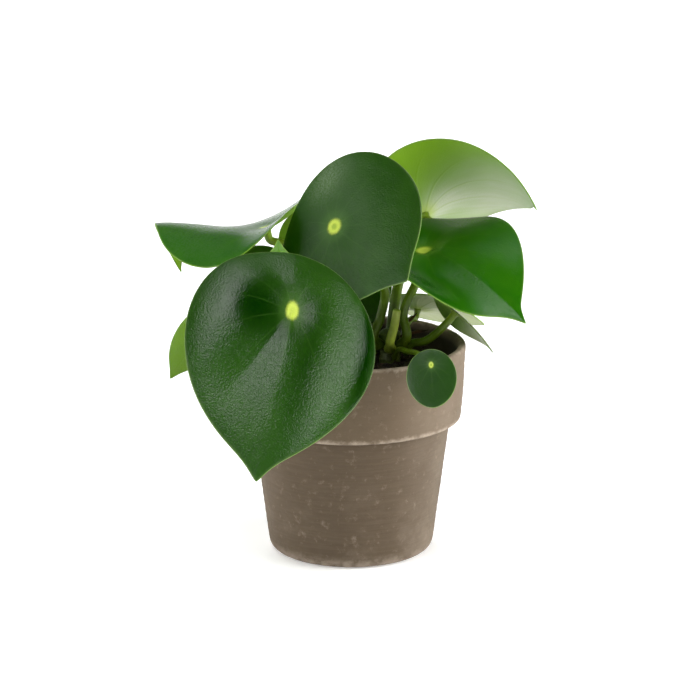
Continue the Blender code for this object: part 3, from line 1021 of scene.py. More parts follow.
def turned_rows(profile: np.ndarray, steps: int) -> np.ndarray:
    """Turn a profile of radius and height round Z.

    Args:
        profile: the radius and height of each ring.
        steps: how many points go round.

    Returns:
        The rings of points.
    """
    angle = round_turn(steps)
    radius = profile[:, :1]
    height = np.broadcast_to(profile[:, 1:], (len(profile), steps))
    return np.stack([radius * np.cos(angle), radius * np.sin(angle), height], axis=-1)


def tube_rows(path: np.ndarray, radius: np.ndarray, steps: int) -> np.ndarray:
    """Make rings round a path.

    Args:
        path: points along the middle line.
        radius: the radius at each point.
        steps: how many points in a ring.

    Returns:
        The rings.
    """
    tangent = unit(np.gradient(path, axis=0))
    side = unit(np.cross(tangent[0], (0.31, 0.22, 0.92)))
    turn = round_turn(steps)
    rows = []
    for place, way, wide in zip(path, tangent, radius):
        side = unit(side - way * np.dot(side, way))
        other = np.cross(way, side)
        ring = np.cos(turn)[:, None] * side - np.sin(turn)[:, None] * other
        rows.append(place + wide * ring)
    return np.array(rows)


def arc(centre: tuple[float, float], radius: float, start: float, end: float, points: int) -> np.ndarray:
    """Return points along an arc in the profile plane, from one angle to another in degrees."""
    angles = np.radians(np.linspace(start, end, points))
    return np.stack([centre[0] + radius * np.cos(angles), centre[1] + radius * np.sin(angles)], axis=1)


def straight(start: Sequence[float], end: Sequence[float], points: int) -> np.ndarray:
    """Return points along a straight line of a profile, without its end."""
    return np.linspace(start, end, points, endpoint=False)


@dataclass(frozen=True)
class Ripple:
    """A low uneven swell: several waves that run in different directions."""

    seed: int
    height: float
    longest: float
    shortest: float
    waves: int = 6

    def at(self, x: np.ndarray, y: np.ndarray, z: Union[np.ndarray, float] = 0.0) -> np.ndarray:
        """Return the height of the swell at each place.

        Args:
            x: places across.
            y: places in depth.
            z: heights.

        Returns:
            The height to add.
        """
        draw = np.random.default_rng(self.seed)
        total = np.zeros(np.broadcast(x, y, z).shape)
        for length in np.geomspace(self.longest, self.shortest, self.waves):
            way = unit(draw.normal(size=3))
            phase = draw.uniform(0, 2 * math.pi)
            size = self.height * (length / self.longest) ** 1.2
            run = way[0] * x + way[1] * y + way[2] * z
            total = total + size * np.sin(2 * math.pi * run / length + phase)
        return total


# The pot


@dataclass
class ClayPot:
    """The turned clay pot: a tapered body under a tall collar.

    middle is the radius of the innermost ring of its floor and base. chips gives the bearing and the
    width of each chip in the rim, in degrees.
    """

    height: float
    rim_radius: float
    collar_foot: float = 0.077
    collar_foot_radius: float = 0.0625
    body_top_radius: float = 0.0565
    base_radius: float = 0.047
    wall: float = 0.0045
    floor: float = 0.006
    rim_round: float = 0.0018
    ledge_round: float = 0.0016
    base_round: float = 0.0055
    neck_round: float = 0.0008
    middle: float = 0.004
    steps: int = 288
    throw_line: float = 0.00006
    throw_steps: tuple[float, float] = (0.0021, 0.0053)
    wobble: float = 0.00012
    chip_depth: float = 0.0007
    chips: tuple[tuple[float, float], ...] = (
        (-74.0, 1.6), (-70.5, 1.1), (-79.0, 0.9), (38.0, 1.4), (142.0, 2.0))

    def inner_radius(self, height: Union[float, np.ndarray]) -> Union[float, np.ndarray]:
        """Return the radius of the inside wall at a height.

        Args:
            height: one height or several.

        Returns:
            The radius at each.
        """
        body_top = self.body_top_radius - self.wall
        low = (height - self.floor) / (self.collar_foot - self.floor)
        high = (height - self.collar_foot) / (self.height - self.collar_foot)
        body = (self.base_radius - self.wall) + low * (body_top - self.base_radius + self.wall)
        collar = body_top + high * (self.rim_radius - self.wall - body_top)
        return np.where(np.asarray(height) <= self.collar_foot, body, collar)

    def profile(self) -> np.ndarray:
        """Return the outline from the middle of the floor, up the inside, over the rim and down.

        Returns:
            The radius and height of each point.
        """
        inner = float(self.inner_radius(self.height))
        top = self.height - self.rim_round
        ledge = self.collar_foot + self.ledge_round
        neck = self.collar_foot - self.neck_round
        base = self.base_radius - self.base_round
        low_in = float(self.inner_radius(self.floor))
        mid_in = float(self.inner_radius(self.collar_foot))
        parts = [
            straight((self.middle, self.floor), (low_in, self.floor), 5),
            straight((low_in, self.floor), (mid_in, self.collar_foot), 24),
            straight((mid_in, self.collar_foot), (inner, top), 22),
            arc((inner + self.rim_round, top), self.rim_round, 180, 90, 8),
            arc((self.rim_radius - self.rim_round, top), self.rim_round, 90, 0, 8)[1:],
            straight((self.rim_radius, top), (self.collar_foot_radius, ledge), 52)[1:],
            arc((self.collar_foot_radius - self.ledge_round, ledge), self.ledge_round, 0, -90, 9),
            straight((self.collar_foot_radius - self.ledge_round, self.collar_foot),
                     (self.body_top_radius + self.neck_round, self.collar_foot), 4)[1:],
            arc((self.body_top_radius + self.neck_round, neck), self.neck_round, 90, 180, 5),
            straight((self.body_top_radius, neck), (self.base_radius, self.base_round), 80)[1:],
            arc((base, self.base_round), self.base_round, 0, -90, 12),
            straight((base, 0.0), (self.middle, 0.0), 6)[1:],
        ]
        return np.vstack(parts)

    def build(self) -> bpy.types.Mesh:
        """Turn the pot, with faint throwing lines, a wobble and small chips in its rim.

        Returns:
            The pot's mesh.
        """
        rows = turned_rows(self.profile(), self.steps)
        x, y, z = rows[..., 0], rows[..., 1], rows[..., 2]
        radius = np.hypot(x, y)
        bearing = np.degrees(np.arctan2(y, x))
        outside = ease(radius - self.inner_radius(z), 0.2 * self.wall, 0.6 * self.wall)
        raised = (z > self.base_round) * outside
        fine, coarse = (2 * math.pi * z / step for step in self.throw_steps)
        grow = self.throw_line * (0.4 * np.sin(fine) + np.sin(coarse + 1.3)) * raised
        grow = grow + raised * Ripple(31, self.wobble, 0.05, 0.008).at(x, y, z)
        near_top = ease(z, self.height - 0.0030, self.height - 0.0008)
        for at, wide in self.chips:
            off = (bearing - at + 180) % 360 - 180
            grow = grow - self.chip_depth * np.exp(-(off / wide) ** 2) * near_top * outside
        drop = near_top * np.abs(Ripple(33, self.wobble, 0.02, 0.004).at(x, y, z)) * outside
        scale = (radius + grow) / np.maximum(radius, TINY)
        rows = np.stack([x * scale, y * scale, z - drop], axis=-1)
        return joined_skins("pot", [(rows, (0, 0, self.floor), (0, 0, 0))])

    def dress(self) -> None:
        """Build the pot in its clay finish."""
        wall_from = self.rim_radius - self.wall + 0.0003
        clay = ClayFinish("clay", self.height, self.collar_foot, wall_from).make()
        add_piece("clay_pot", self.build(), [clay], ["pot"])


# The soil


@dataclass
class PottingSoil:
    """The soil in the pot, with loose crumbs and fibres on top."""

    pot: ClayPot
    level: float = 0.1065
    side_top: float = 0.100
    edge_drop: float = 0.0015
    lump: float = 0.0007
    gap: float = 0.0003
    rings: int = 84
    steps: int = 252
    crumbs: int = 520
    crumb_sizes: tuple[float, float] = (0.0005, 0.0017)
    crumb_clear: float = 0.003
    fibres: int = 70
    fibre_lengths: tuple[float, float] = (0.003, 0.008)
    fibre_radii: tuple[float, float] = (0.00012, 0.0003)
    fibre_clear: float = 0.010
    seed: int = 7

    def top(self, x: np.ndarray, y: np.ndarray) -> np.ndarray:
        """Return the height of the soil's surface at each place.

        Args:
            x: places across.
            y: places in depth.

        Returns:
            The height, with low lumps and crumbs, and a little lower at the wall.
        """
        away = np.hypot(x, y) / float(self.pot.inner_radius(self.level))
        lumps = np.sin(210 * x + 1.0) * np.cos(190 * y) + 0.6 * np.sin(330 * y - 160 * x)
        fine = Ripple(11, 0.0005, 0.009, 0.0016, waves=14).at(x, y)
        return self.level - self.edge_drop * away ** 4 + self.lump * lumps + fine

    def build(self) -> bpy.types.Mesh:
        """Build the soil as one closed skin.

        Returns:
            The soil's mesh.
        """
        wall = float(self.pot.inner_radius(self.level)) - self.gap
        profile = [(wall * (i + 1) / self.rings, self.level) for i in range(self.rings)]
        bottom = self.pot.floor + self.gap
        mid = self.pot.collar_foot
        sides = np.concatenate([np.linspace(self.side_top, mid, 8), np.linspace(mid, bottom, 12)[1:]])
        profile += [(float(self.pot.inner_radius(z)) - self.gap, z) for z in sides]
        rows = turned_rows(np.array(profile), self.steps)
        face = rows[:self.rings]
        face[..., 2] = self.top(face[..., 0], face[..., 1])
        start = (0.0, 0.0, float(self.top(np.array(0.0), np.array(0.0))))
        return joined_skins("soil", [(rows, start, (0, 0, bottom))])

    def scatter(self, draw: np.random.Generator, count: int, clear: float) -> np.ndarray:
        """Draw places on the soil.

        Args:
            draw: the seeded source of draws.
            count: how many places.
            clear: how far from the pot's wall they end.

        Returns:
            A point on the surface for each.
        """
        most = float(self.pot.inner_radius(self.level)) - clear
        away = most * np.sqrt(draw.uniform(size=count))
        turn = draw.uniform(0, 2 * math.pi, size=count)
        x, y = away * np.cos(turn), away * np.sin(turn)
        return np.stack([x, y, self.top(x, y)], axis=1)

    def build_crumbs(self) -> bpy.types.Mesh:
        """Build the loose crumbs, each a knobbly lump that is half sunk in the soil.

        Returns:
            One mesh with all the crumbs.
        """
        draw = np.random.default_rng(self.seed)
        steps, rings = 9, 5
        rise = np.linspace(math.pi / 2, -math.pi / 2, rings + 2)[1:-1]
        ball = turned_rows(np.stack([np.cos(rise), np.sin(rise)], axis=1), steps)
        skins = []
        for place in self.scatter(draw, self.crumbs, self.crumb_clear):
            size = draw.uniform(*self.crumb_sizes)
            lumps = 1 + 0.25 * draw.normal(size=(rings, steps, 1))
            squash = draw.uniform(0.6, 1.1, size=3) * size
            end = np.array([0, 0, squash[2]])
            skins.append((ball * lumps * squash + place, place + end, place - end))
        return joined_skins("soil_crumbs", skins)

    def build_fibres(self) -> bpy.types.Mesh:
        """Build the loose fibres, each a thin curved strand that lies on the soil.

        Returns:
            One mesh with all the fibres.
        """
        draw = np.random.default_rng(self.seed + 1)
        reach = np.linspace(-1, 1, 7)
        skins = []
        for place in self.scatter(draw, self.fibres, self.fibre_clear):
            heading = draw.uniform(0, 2 * math.pi)
            bend = draw.normal() * 60
            along = reach / 2 * draw.uniform(*self.fibre_lengths)
            turn = heading + bend * along
            x = place[0] + np.cumsum(np.gradient(along) * np.cos(turn))
            y = place[1] + np.cumsum(np.gradient(along) * np.sin(turn))
            path = np.stack([x, y, self.top(x, y) + 0.0001], axis=1)
            radius = draw.uniform(*self.fibre_radii) * (1.1 - (0.8 * reach) ** 2)
            rows = tube_rows(path, radius, 6)
            skins.append((rows, rows[0].mean(axis=0), rows[-1].mean(axis=0)))
        return joined_skins("soil_fibres", skins)

    def dress(self) -> None:
        """Build the soil with its crumbs and fibres."""
        earth = SoilFinish("soil").make()
        add_piece("potting_soil", self.build(), [earth], ["soil"])
        crumb = SoilFinish("soil_crumb", dark=(20, 15, 11), light=(62, 46, 33)).make()
        add_piece("soil_crumbs", self.build_crumbs(), [crumb])
        strand = SoilFinish("soil_fibre", dark=(50, 36, 24), light=(104, 80, 54)).make()
        add_piece("soil_fibres", self.build_fibres(), [strand])


# Stems


@dataclass(frozen=True)
class Stem:
    """A short upright stem with swollen joints and the scars of old stalks.

    cap is the height of its rounded top, and fade the run over which its relief begins at the bottom.
    """

    name: str
    centre: tuple[float, float]
    radius: float
    top: float = 0.1255
    bottom: float = 0.0848
    joints: tuple[float, ...] = (0.1085, 0.1135, 0.1185, 0.1225)
    cap: float = 0.0030
    ridge: float = 0.00035
    ridge_wide: float = 0.0006
    shrink: float = 0.0002
    scars: float = 0.00025
    fade: float = 0.004
    steps: int = 64

    def build(self) -> bpy.types.Mesh:
        """Build the stem.

        Returns:
            A closed skin with a ridge at each joint and shallow scars between them.
        """
        heights = np.linspace(self.top - self.cap, self.bottom, 90)
        dome = np.linspace(1, 0, 14, endpoint=False)[::-1]
        cap_radius = self.radius * np.sqrt(np.clip(1 - dome ** 2.2, 0.01, 1))
        cap_height = self.top - self.cap + self.cap * dome
        profile = np.vstack([np.stack([cap_radius, cap_height], axis=1)[::-1],
                             np.stack([np.full_like(heights, self.radius), heights], axis=1)[1:]])
        rows = turned_rows(profile, self.steps)
        x, y, z = rows[..., 0], rows[..., 1], rows[..., 2]
        grow = np.zeros(z.shape)
        for joint in self.joints:
            grow = grow + self.ridge * np.exp(-((z - joint) / self.ridge_wide) ** 2)
        shape = Ripple(int(self.radius * 1e5), self.scars, 0.012, 0.003).at(x, y, z)
        grow = (grow + shape - self.shrink) * ease(z, self.bottom, self.bottom + self.fade)
        radius = np.maximum(np.hypot(x, y), TINY)
        scale = np.where(radius > 0.3 * self.radius, (radius + grow) / radius, 1.0)
        rows = np.stack([x * scale, y * scale, z], axis=-1) + np.array([*self.centre, 0.0])
        ends = (*self.centre, self.top), (*self.centre, self.bottom)
        mesh = joined_skins(self.name, [(rows, *ends)])
        turn = np.broadcast_to(round_turn(self.steps), z.shape)
        share = (z - self.bottom) / (self.top - self.bottom)
        values = np.stack([share, turn, z], axis=-1).reshape(-1, 3)
        set_point_vectors(mesh, "along", np.vstack([values, [[1, 0, self.top]], [[0, 0, self.bottom]]]))
        return mesh


# Leaves


VEIN_SWEEP = 0.22           # how far the veins lean towards the tip by the margin
VEIN_STEP = 360 / 11        # degrees between neighbouring veins where they leave the spot
SLICES = 24                 # how many slices each strip's curve is summed over
MARGIN_THICK = 0.0007
TYPICAL_LENGTH = 0.12       # the blade that the widths of grooves and ripples are given for
GROOVE_WIDE = 0.0016
ROLL_FROM = 0.86            # share of the way to the margin where the rim begins to turn down
NUB_HEIGHT = 0.0002         # of the low rise over the stalk
NUB_REACH = 0.0030
TEAR_DEPTH = 0.055          # share of the width that the deepest bite takes
FOLD_STEP = 0.25            # degrees between the bearings that pleats are smoothed over
FOLD_REACH = 40             # how many of these steps the smoothing takes in on each side
SPOKE_CROWD = 0.55          # how much closer the spokes of a blade's mesh stand at the tip
RING_POWER = 0.92           # below 1, its rings stand closer towards the margin
RIM_ANGLES = (58, 28, 0, -28, -58)    # where the rows of its rounded rim lie, in degrees from level


@dataclass(frozen=True)
class Swell:
    """A soft-edged patch of a blade, by its place in front of the stalk and to the left.

    It stands for a hump or dent, whose height is in metres, or for a patch of painted shade, painted light or
    painted sheen, whose height is its strength.
    """

    front: float
    left: float
    height: float
    reach_front: float
    reach_left: float

    def at(self, front: np.ndarray, left: np.ndarray) -> np.ndarray:
        """Return its height at each place."""
        far = ((front - self.front) / self.reach_front) ** 2 + ((left - self.left) / self.reach_left) ** 2
        return self.height * np.exp(-far)


@dataclass(frozen=True)
class Shoulder:
    """A raised arc of a blade round the stalk, or a sunk one where its height is negative.

    It is highest at one bearing, in degrees, and at one distance from the stalk, and fades out a spread
    away to either side.
    """

    bearing: float
    spread: float
    height: float
    radius: float

    def at(self, away: np.ndarray, bearing: np.ndarray) -> np.ndarray:
        """Return its height at each place.

        Args:
            away: the distance from the stalk.
            bearing: the direction from the stalk, in radians.

        Returns:
            The height to add.
        """
        off = (np.degrees(bearing) - self.bearing + 180) % 360 - 180
        weight = np.exp(-(off / self.spread) ** 4)
        part = (away / self.radius) ** 2
        return self.height * weight * part * np.exp(1 - part)


@dataclass(frozen=True)
class Pleats:
    """Folds of a blade that run out from the stalk, like those of a fan.

    rises gives the bearing of each fold line, in degrees from the tip and positive to the left, with how
    far the blade stands above its even form there, in millimetres for each centimetre from the stalk.
    Between two lines the blade runs straight, and the last line joins the first.
    """

    rises: tuple[tuple[float, float], ...]
    soft: float = 1.6
    fade_from: float = 0.45
    fade_to: float = 0.95

    def at(self, share: np.ndarray, away: np.ndarray, bearing: np.ndarray) -> np.ndarray:
        """Return the height of the folds at each place.

        Args:
            share: the share of the way to the margin.
            away: the distance from the stalk.
            bearing: the direction from the stalk, in radians.

        Returns:
            The height to add.
        """
        lines, heights = np.array(sorted(self.rises)).T
        turn = np.arange(-180, 180, FOLD_STEP)
        line = np.interp(turn, lines, heights, period=360)
        spread = np.exp(-(np.arange(-FOLD_REACH, FOLD_REACH + 1) * FOLD_STEP / self.soft) ** 2)
        wrapped = np.concatenate([line[-FOLD_REACH:], line, line[:FOLD_REACH]])
        smooth = np.convolve(wrapped, spread / spread.sum(), "valid")
        rise = np.interp(np.degrees(bearing), turn, smooth, period=360)
        return 0.1 * rise * away * (1 - ease(share, self.fade_from, self.fade_to))


@dataclass(frozen=True)
class Leaf:
    """A leaf blade that its stalk carries from below, some way in from the back edge.

    at is the point over the stalk. heading, pitch and roll turn the blade: heading is the way the tip
    points, from +X towards +Y, pitch lifts the tip, and roll lifts the left half.
    """

    name: str
    at: Point
    heading: float
    pitch: float
    roll: float
    length: float
    width: float
    seat: float = 0.30
    pointed: float = 0.50
    drip_tip: float = 0.05
    bend: float = 0.0
    back_bend: float = 0.0
    hook: float = 0.0
    hook_from: float = 0.5
    left_curl: float = 0.0
    right_curl: float = 0.0
    fold: float = 0.0
    sway: float = 0.0
    twist: float = 0.0
    dimple: float = 0.0
    dimple_reach: float = 0.014
    wave: float = 0.0
    waves: int = 4
    wave_phase: float = 0.0
    thick: float = 0.0012
    age: Age = Age.OLD
    swells: tuple[Swell, ...] = ()
    pleats: Optional[Pleats] = None
    shoulders: tuple[Shoulder, ...] = ()
    veins: float = 0.00003
    ripple: float = 0.00006
    rim_roll: float = 0.0004
    spot_long: float = 0.0042
    spot_wide: float = 0.0036
    spot_core: float = 0.35
    # The next three list patches of painted shade on the upper face, painted light on the underside and
    # painted sheen on the upper face.
    painted_shade_patches: tuple[Swell, ...] = ()
    painted_light_patches: tuple[Swell, ...] = ()
    painted_sheen_patches: tuple[Swell, ...] = ()
    torn: bool = False
    spokes: int = 224
    rings: int = 54

    def directions(self) -> tuple[np.ndarray, np.ndarray, np.ndarray]:
        """Work out the blade's own directions.

        Returns:
            The directions towards the tip, to the left, and up out of its face.
        """
        heading, pitch, roll = np.radians([self.heading, self.pitch, self.roll])
        level = math.cos(pitch)
        forward = np.array([level * math.cos(heading), level * math.sin(heading), math.sin(pitch)])
        across = np.array([-math.sin(heading), math.cos(heading), 0.0])
        lifted = np.cross(forward, across)
        left = across * math.cos(roll) + lifted * math.sin(roll)
        return forward, left, np.cross(forward, left)

    def outline(self, angle: np.ndarray) -> tuple[np.ndarray, np.ndarray]:
        """Return the flat outline: the distance in front of the stalk, and to the left.

        Args:
            angle: the angle round the blade, from the tip.

        Returns:
            The two distances at each angle.
        """
        half = np.linspace(0.0, math.pi, 400)
        widest = (np.sin(half) * np.sin(half / 2) ** self.pointed).max()
        left = np.sin(angle) * np.abs(np.sin(angle / 2)) ** self.pointed * self.width / 2 / widest
        off_tip = np.abs((angle + math.pi) % (2 * math.pi) - math.pi)
        tip = self.drip_tip * np.exp(-(off_tip / 0.28) ** 2)
        front = self.length * (0.5 + 0.5 * np.cos(angle) + tip - self.seat)
        if self.torn:
            bites = np.clip(np.sin(23 * angle) + np.sin(37 * angle + 1.0) + np.sin(61 * angle), 0, None)
            side = ease(-np.sin(angle), 0.45, 0.9) * ease(np.cos(angle), -0.5, 0.1)
            kept = 1 - TEAR_DEPTH * side * bites
            front, left = front * kept, left * kept
        return front, left

    def relief(self, share: np.ndarray, front: np.ndarray, left: np.ndarray) -> np.ndarray:
        """Return the fine form of the blade: its vein grooves, ripples, swells and creases.

        Args:
            share: the share of the way to the margin.
            front: the flat distance in front of the stalk.
            left: the flat distance to the left.

        Returns:
            The height to add at each place.
        """
        away = np.hypot(front, left)
        bearing = np.arctan2(left, front)
        start = bearing / (1 - VEIN_SWEEP * share ** 2)
        step = math.radians(VEIN_STEP)
        apart = np.abs((start / step + 0.5) % 1 - 0.5) * step * away
        reach = ease(away, 0.003, 0.012) * (1 - ease(share, 0.6, 0.97))
        size = self.length / TYPICAL_LENGTH
        height = -self.veins * np.exp(-(apart / (GROOVE_WIDE * size)) ** 2) * reach
        ripple = Ripple(name_number(self.name), self.ripple * size, 0.045 * size, 0.009 * size)
        height = height + ease(away, 0.0, 0.012) * ripple.at(front, left)
        for swell in self.swells:
            height = height + swell.at(front, left)
        for shoulder in self.shoulders:
            height = height + shoulder.at(away, bearing)
        if self.pleats:
            height = height + self.pleats.at(share, away, bearing)
        rolled = self.rim_roll * size * np.clip((share - ROLL_FROM) / (1 - ROLL_FROM), 0, None) ** 2
        nub = NUB_REACH * min(1.0, size + 0.2)
        return height - rolled + NUB_HEIGHT * np.exp(-(away / nub) ** 2)

    def points(self, share: np.ndarray, angle: np.ndarray) -> np.ndarray:
        """Return points of the blade's middle surface.

        Args:
            share: 0 over the stalk and 1 at the margin.
            angle: the angle from the tip.

        Returns:
            A point for each pair.
        """
        out_front, out_left = self.outline(angle)
        front, left = share * out_front, share * out_left
        along = (np.arange(SLICES) + 0.5) / SLICES
        ahead = front >= 0
        reach = np.where(ahead, (1 - self.seat) * self.length, self.seat * self.length)
        part = np.abs(front) / reach
        steps = part[..., None] * along
        hooked = np.clip((steps - self.hook_from) / (1 - self.hook_from), 0, None) ** 2
        slope_front = np.radians(self.bend) * steps + np.radians(self.hook) * hooked
        slope_back = np.radians(self.back_bend) * steps
        run, drop = curved_run(np.abs(front), np.where(ahead[..., None], slope_front, slope_back))
        run = np.where(ahead, run, -run)
        end_hook = np.clip((part - self.hook_from) / (1 - self.hook_from), 0, None) ** 2
        end_front = np.radians(self.bend) * part + np.radians(self.hook) * end_hook
        lean = np.where(ahead, end_front, -np.radians(self.back_bend) * part)

        curl = np.radians(np.where(left >= 0, self.left_curl, self.right_curl))
        side_part = np.abs(left) / (self.width / 2)
        side_slope = (curl * side_part)[..., None] * along - np.radians(self.fold)
        side, sink = curved_run(np.abs(left), side_slope)
        side = np.sign(left) * side
        to_tip = front / ((1 - self.seat) * self.length)
        turn = np.radians(self.twist) * np.clip(to_tip, -0.5, 1)
        across = side * np.cos(turn) + sink * np.sin(turn)
        height = side * np.sin(turn) - sink * np.cos(turn)
        across = across + self.sway * self.length * np.sin(math.pi / 2 * np.clip(to_tip, -1, 1.1)) ** 2
        height = height + self.dimple * (1 - np.exp(-(np.hypot(front, left) / self.dimple_reach) ** 2))
        height = height + self.wave * share ** 2 * np.sin(self.waves * angle + np.radians(self.wave_phase))
        height = height + self.relief(share, front, left)

        forward, leftward, upward = self.directions()
        ahead_by = run + np.sin(lean) * height
        above_by = np.cos(lean) * height - drop
        return (np.asarray(self.at) + ahead_by[..., None] * forward + across[..., None] * leftward
                + above_by[..., None] * upward)

    def build(self) -> bpy.types.Mesh:
        """Build the blade: the upper face, a rounded margin and the underside.

        Returns:
            The mesh, with its flat coordinates kept at each point.
        """
        turn = round_turn(self.spokes)
        angle = np.broadcast_to(turn - SPOKE_CROWD * np.sin(turn), (self.rings, self.spokes))
        share = ((np.arange(self.rings) + 1) / self.rings)[:, None] ** RING_POWER
        share = np.broadcast_to(share, angle.shape)
        step = 0.001
        points = self.points(share, angle)
        outward = points - self.points(share - step, angle)
        around = self.points(share, angle + step) - self.points(share, angle - step)
        normal = unit(np.cross(outward, around))
        half = ((MARGIN_THICK + (self.thick - MARGIN_THICK) * (1 - share ** 2)) / 2)[..., None]
        beyond = unit(np.cross(around[-1], normal[-1]))
        rim = []
        for lift in np.radians(RIM_ANGLES):
            rim.append(points[-1] + half[-1] * (math.cos(lift) * beyond + math.sin(lift) * normal[-1]))
        rows = np.concatenate([points + normal * half, np.array(rim), (points - normal * half)[::-1]])
        deep = self.directions()[2] * self.thick / 2
        middle = self.points(np.zeros((1, 1)), np.zeros((1, 1)))[0, 0]
        mesh = joined_skins(self.name, [(rows, middle + deep, middle - deep)])
        kinds = [0] * self.rings + [2] * (len(rim) + 1) + [1] * self.rings
        mesh.polygons.foreach_set("material_index", np.repeat(kinds, self.spokes))
        out_front, out_left = self.outline(angle)
        flat = np.stack([share * out_front, share * out_left, share], axis=-1)
        edge = np.broadcast_to(flat[-1], (len(rim), *flat[-1].shape))
        values = np.vstack([np.concatenate([flat, edge, flat[::-1]]).reshape(-1, 3), np.zeros((2, 3))])
        set_point_vectors(mesh, "flat", values)
        front, left = values[:, 0], values[:, 1]
        spot = [front / self.spot_long, left / self.spot_wide, np.full_like(front, self.spot_core)]
        set_point_vectors(mesh, "spot", np.stack(spot, axis=1))
        # tone holds the strengths of painted shade, painted light and painted sheen
        tones = [sum((patch.at(front, left) for patch in patches), np.zeros_like(front))
                 for patches in (self.painted_shade_patches, self.painted_light_patches, self.painted_sheen_patches)]
        set_point_vectors(mesh, "tone", np.clip(np.stack(tones, axis=1), 0, 1))
        return mesh


def name_number(name: str) -> int:
    """Return a number that is always the same for a name."""
    return sum((place + 1) * ord(letter) for place, letter in enumerate(name))


def curved_run(distance: np.ndarray, slopes: np.ndarray) -> tuple[np.ndarray, np.ndarray]:
    """Return how far a strip reaches and drops, whose slope along it is the last axis of slopes."""
    return distance * np.cos(slopes).mean(axis=-1), distance * np.sin(slopes).mean(axis=-1)


RIBS = ((7, 0.018, 1.0), (11, 0.012, 0.0))    # lengthwise ribs: how many, how high for the radius, phase
DISH = ((0.8, -0.0001), (0.6, 0.0002), (0.3, 0.0004))    # rings of a cut end: share of the radius, depth


@dataclass(frozen=True)
class Stalk:
    """A leaf stalk from the side of a stem, through its way points, to the underside of a blade.

    It leaves the stem at a bearing and a height, and climbs at the launch angle for launch_run. collar is
    how much it swells close to its foot and flare how much under the blade, each over its own run.
    """

    name: str
    stem: str
    bearing: float
    height: float
    radius: float
    way: tuple[Point, ...]
    leaf: Optional[str] = None
    neck: float = 0.008
    end: StalkEnd = StalkEnd.BLADE
    launch: float = 48.0
    launch_run: float = 0.005
    base_swell: float = 1.12
    neck_share: float = 0.86
    sunk: float = 0.0016
    collar: float = 0.22
    collar_run: float = 0.0022
    flare: float = 0.45
    flare_run: float = 0.0014
    skin_clear: float = 0.0004
    steps: int = 28

    def path(self, stem: Stem, leaf: Optional[Leaf]) -> np.ndarray:
        """Return the stalk's middle line, from inside the stem's skin to the blade.

        Args:
            stem: the stem that it grows from.
            leaf: the blade that it carries, if any.

        Returns:
            Points about a millimetre apart.
        """
        bearing, launch = np.radians([self.bearing, self.launch])
        out = np.array([math.cos(bearing), math.sin(bearing), 0.0])
        up = np.array([0.0, 0.0, 1.0])
        clear = stem.radius + self.skin_clear + self.radius * self.base_swell * math.sin(launch)
        foot = np.array([*stem.centre, self.height]) + out * clear
        rising = out * math.cos(launch) + up * math.sin(launch)
        given = [foot - rising * self.sunk, foot, foot + self.launch_run * rising]
        given += [np.array(point) for point in self.way]
        if leaf is not None:
            upward = leaf.directions()[2]
            for below in (self.neck, self.neck / 2, 0.0):
                given.append(np.asarray(leaf.at) - upward * (below + leaf.thick * 0.25))
        return smooth_path(np.array(given))

    def build(self, stem: Stem, leaf: Optional[Leaf]) -> bpy.types.Mesh:
        """Build the stalk as a tube that swells at its foot and flares under the blade.

        Args:
            stem: the stem that it grows from.
            leaf: the blade that it carries, if any.

        Returns:
            The mesh, with the place along the stalk kept at each point.
        """
        path = self.path(stem, leaf)
        share = np.linspace(0, 1, len(path))
        swell = 1 + (self.base_swell - 1) * np.exp(-(share / 0.1) ** 2)
        radius = self.radius * swell * (1 - (1 - self.neck_share) * share ** 2)
        lengths = run_lengths(path)
        to_end = lengths[-1] - lengths
        radius = radius * (1 + self.collar * np.exp(-(lengths / self.collar_run) ** 2))
        if self.end is StalkEnd.BLADE:
            radius = radius * (1 + self.flare * np.exp(-(to_end / self.flare_run) ** 2))
        if self.end is StalkEnd.WITHERED:
            draw = np.random.default_rng(name_number(self.name))
            bumps = np.convolve(draw.normal(size=len(path) + 4), np.ones(5) / 5, "valid")
            radius = radius * (1 + 0.3 * bumps) * (0.35 + 0.65 * ease(to_end, 0.0, 0.006))
        rows = tube_rows(path, radius, self.steps)
        turn = round_turn(self.steps)
        ribs = sum(high * np.cos(count * turn + phase) for count, high, phase in RIBS)
        ribs = ribs * ease(to_end, 0.0, 0.004)[:, None]
        rows = path[:, None] + (rows - path[:, None]) * (1 + ribs)[..., None]
        end = path[-1]
        if self.end is StalkEnd.CUT:
            tangent = unit(path[-1] - path[-2])
            rows[-1] = path[-1] + (rows[-1] - path[-1]) * 0.93 + tangent * 0.0001
            dished = [path[-1] + (rows[-1] - path[-1]) * wide - tangent * sink
                      for wide, sink in DISH]
            rows = np.concatenate([rows, np.array(dished)])
            share = np.concatenate([share, [1.2, 1.3, 1.4]])
            lengths = np.concatenate([lengths, [lengths[-1]] * len(DISH)])
            end = path[-1] - tangent * DISH[-1][1]
        mesh = joined_skins(self.name, [(rows[::-1], end, path[0])])
        along = np.stack(np.broadcast_arrays(share[::-1, None], turn, lengths[::-1, None]), axis=-1)
        ends = [[share[-1], 0, 0], [0, 0, 0]]
        set_point_vectors(mesh, "along", np.vstack([along.reshape(-1, 3), ends]))
        return mesh


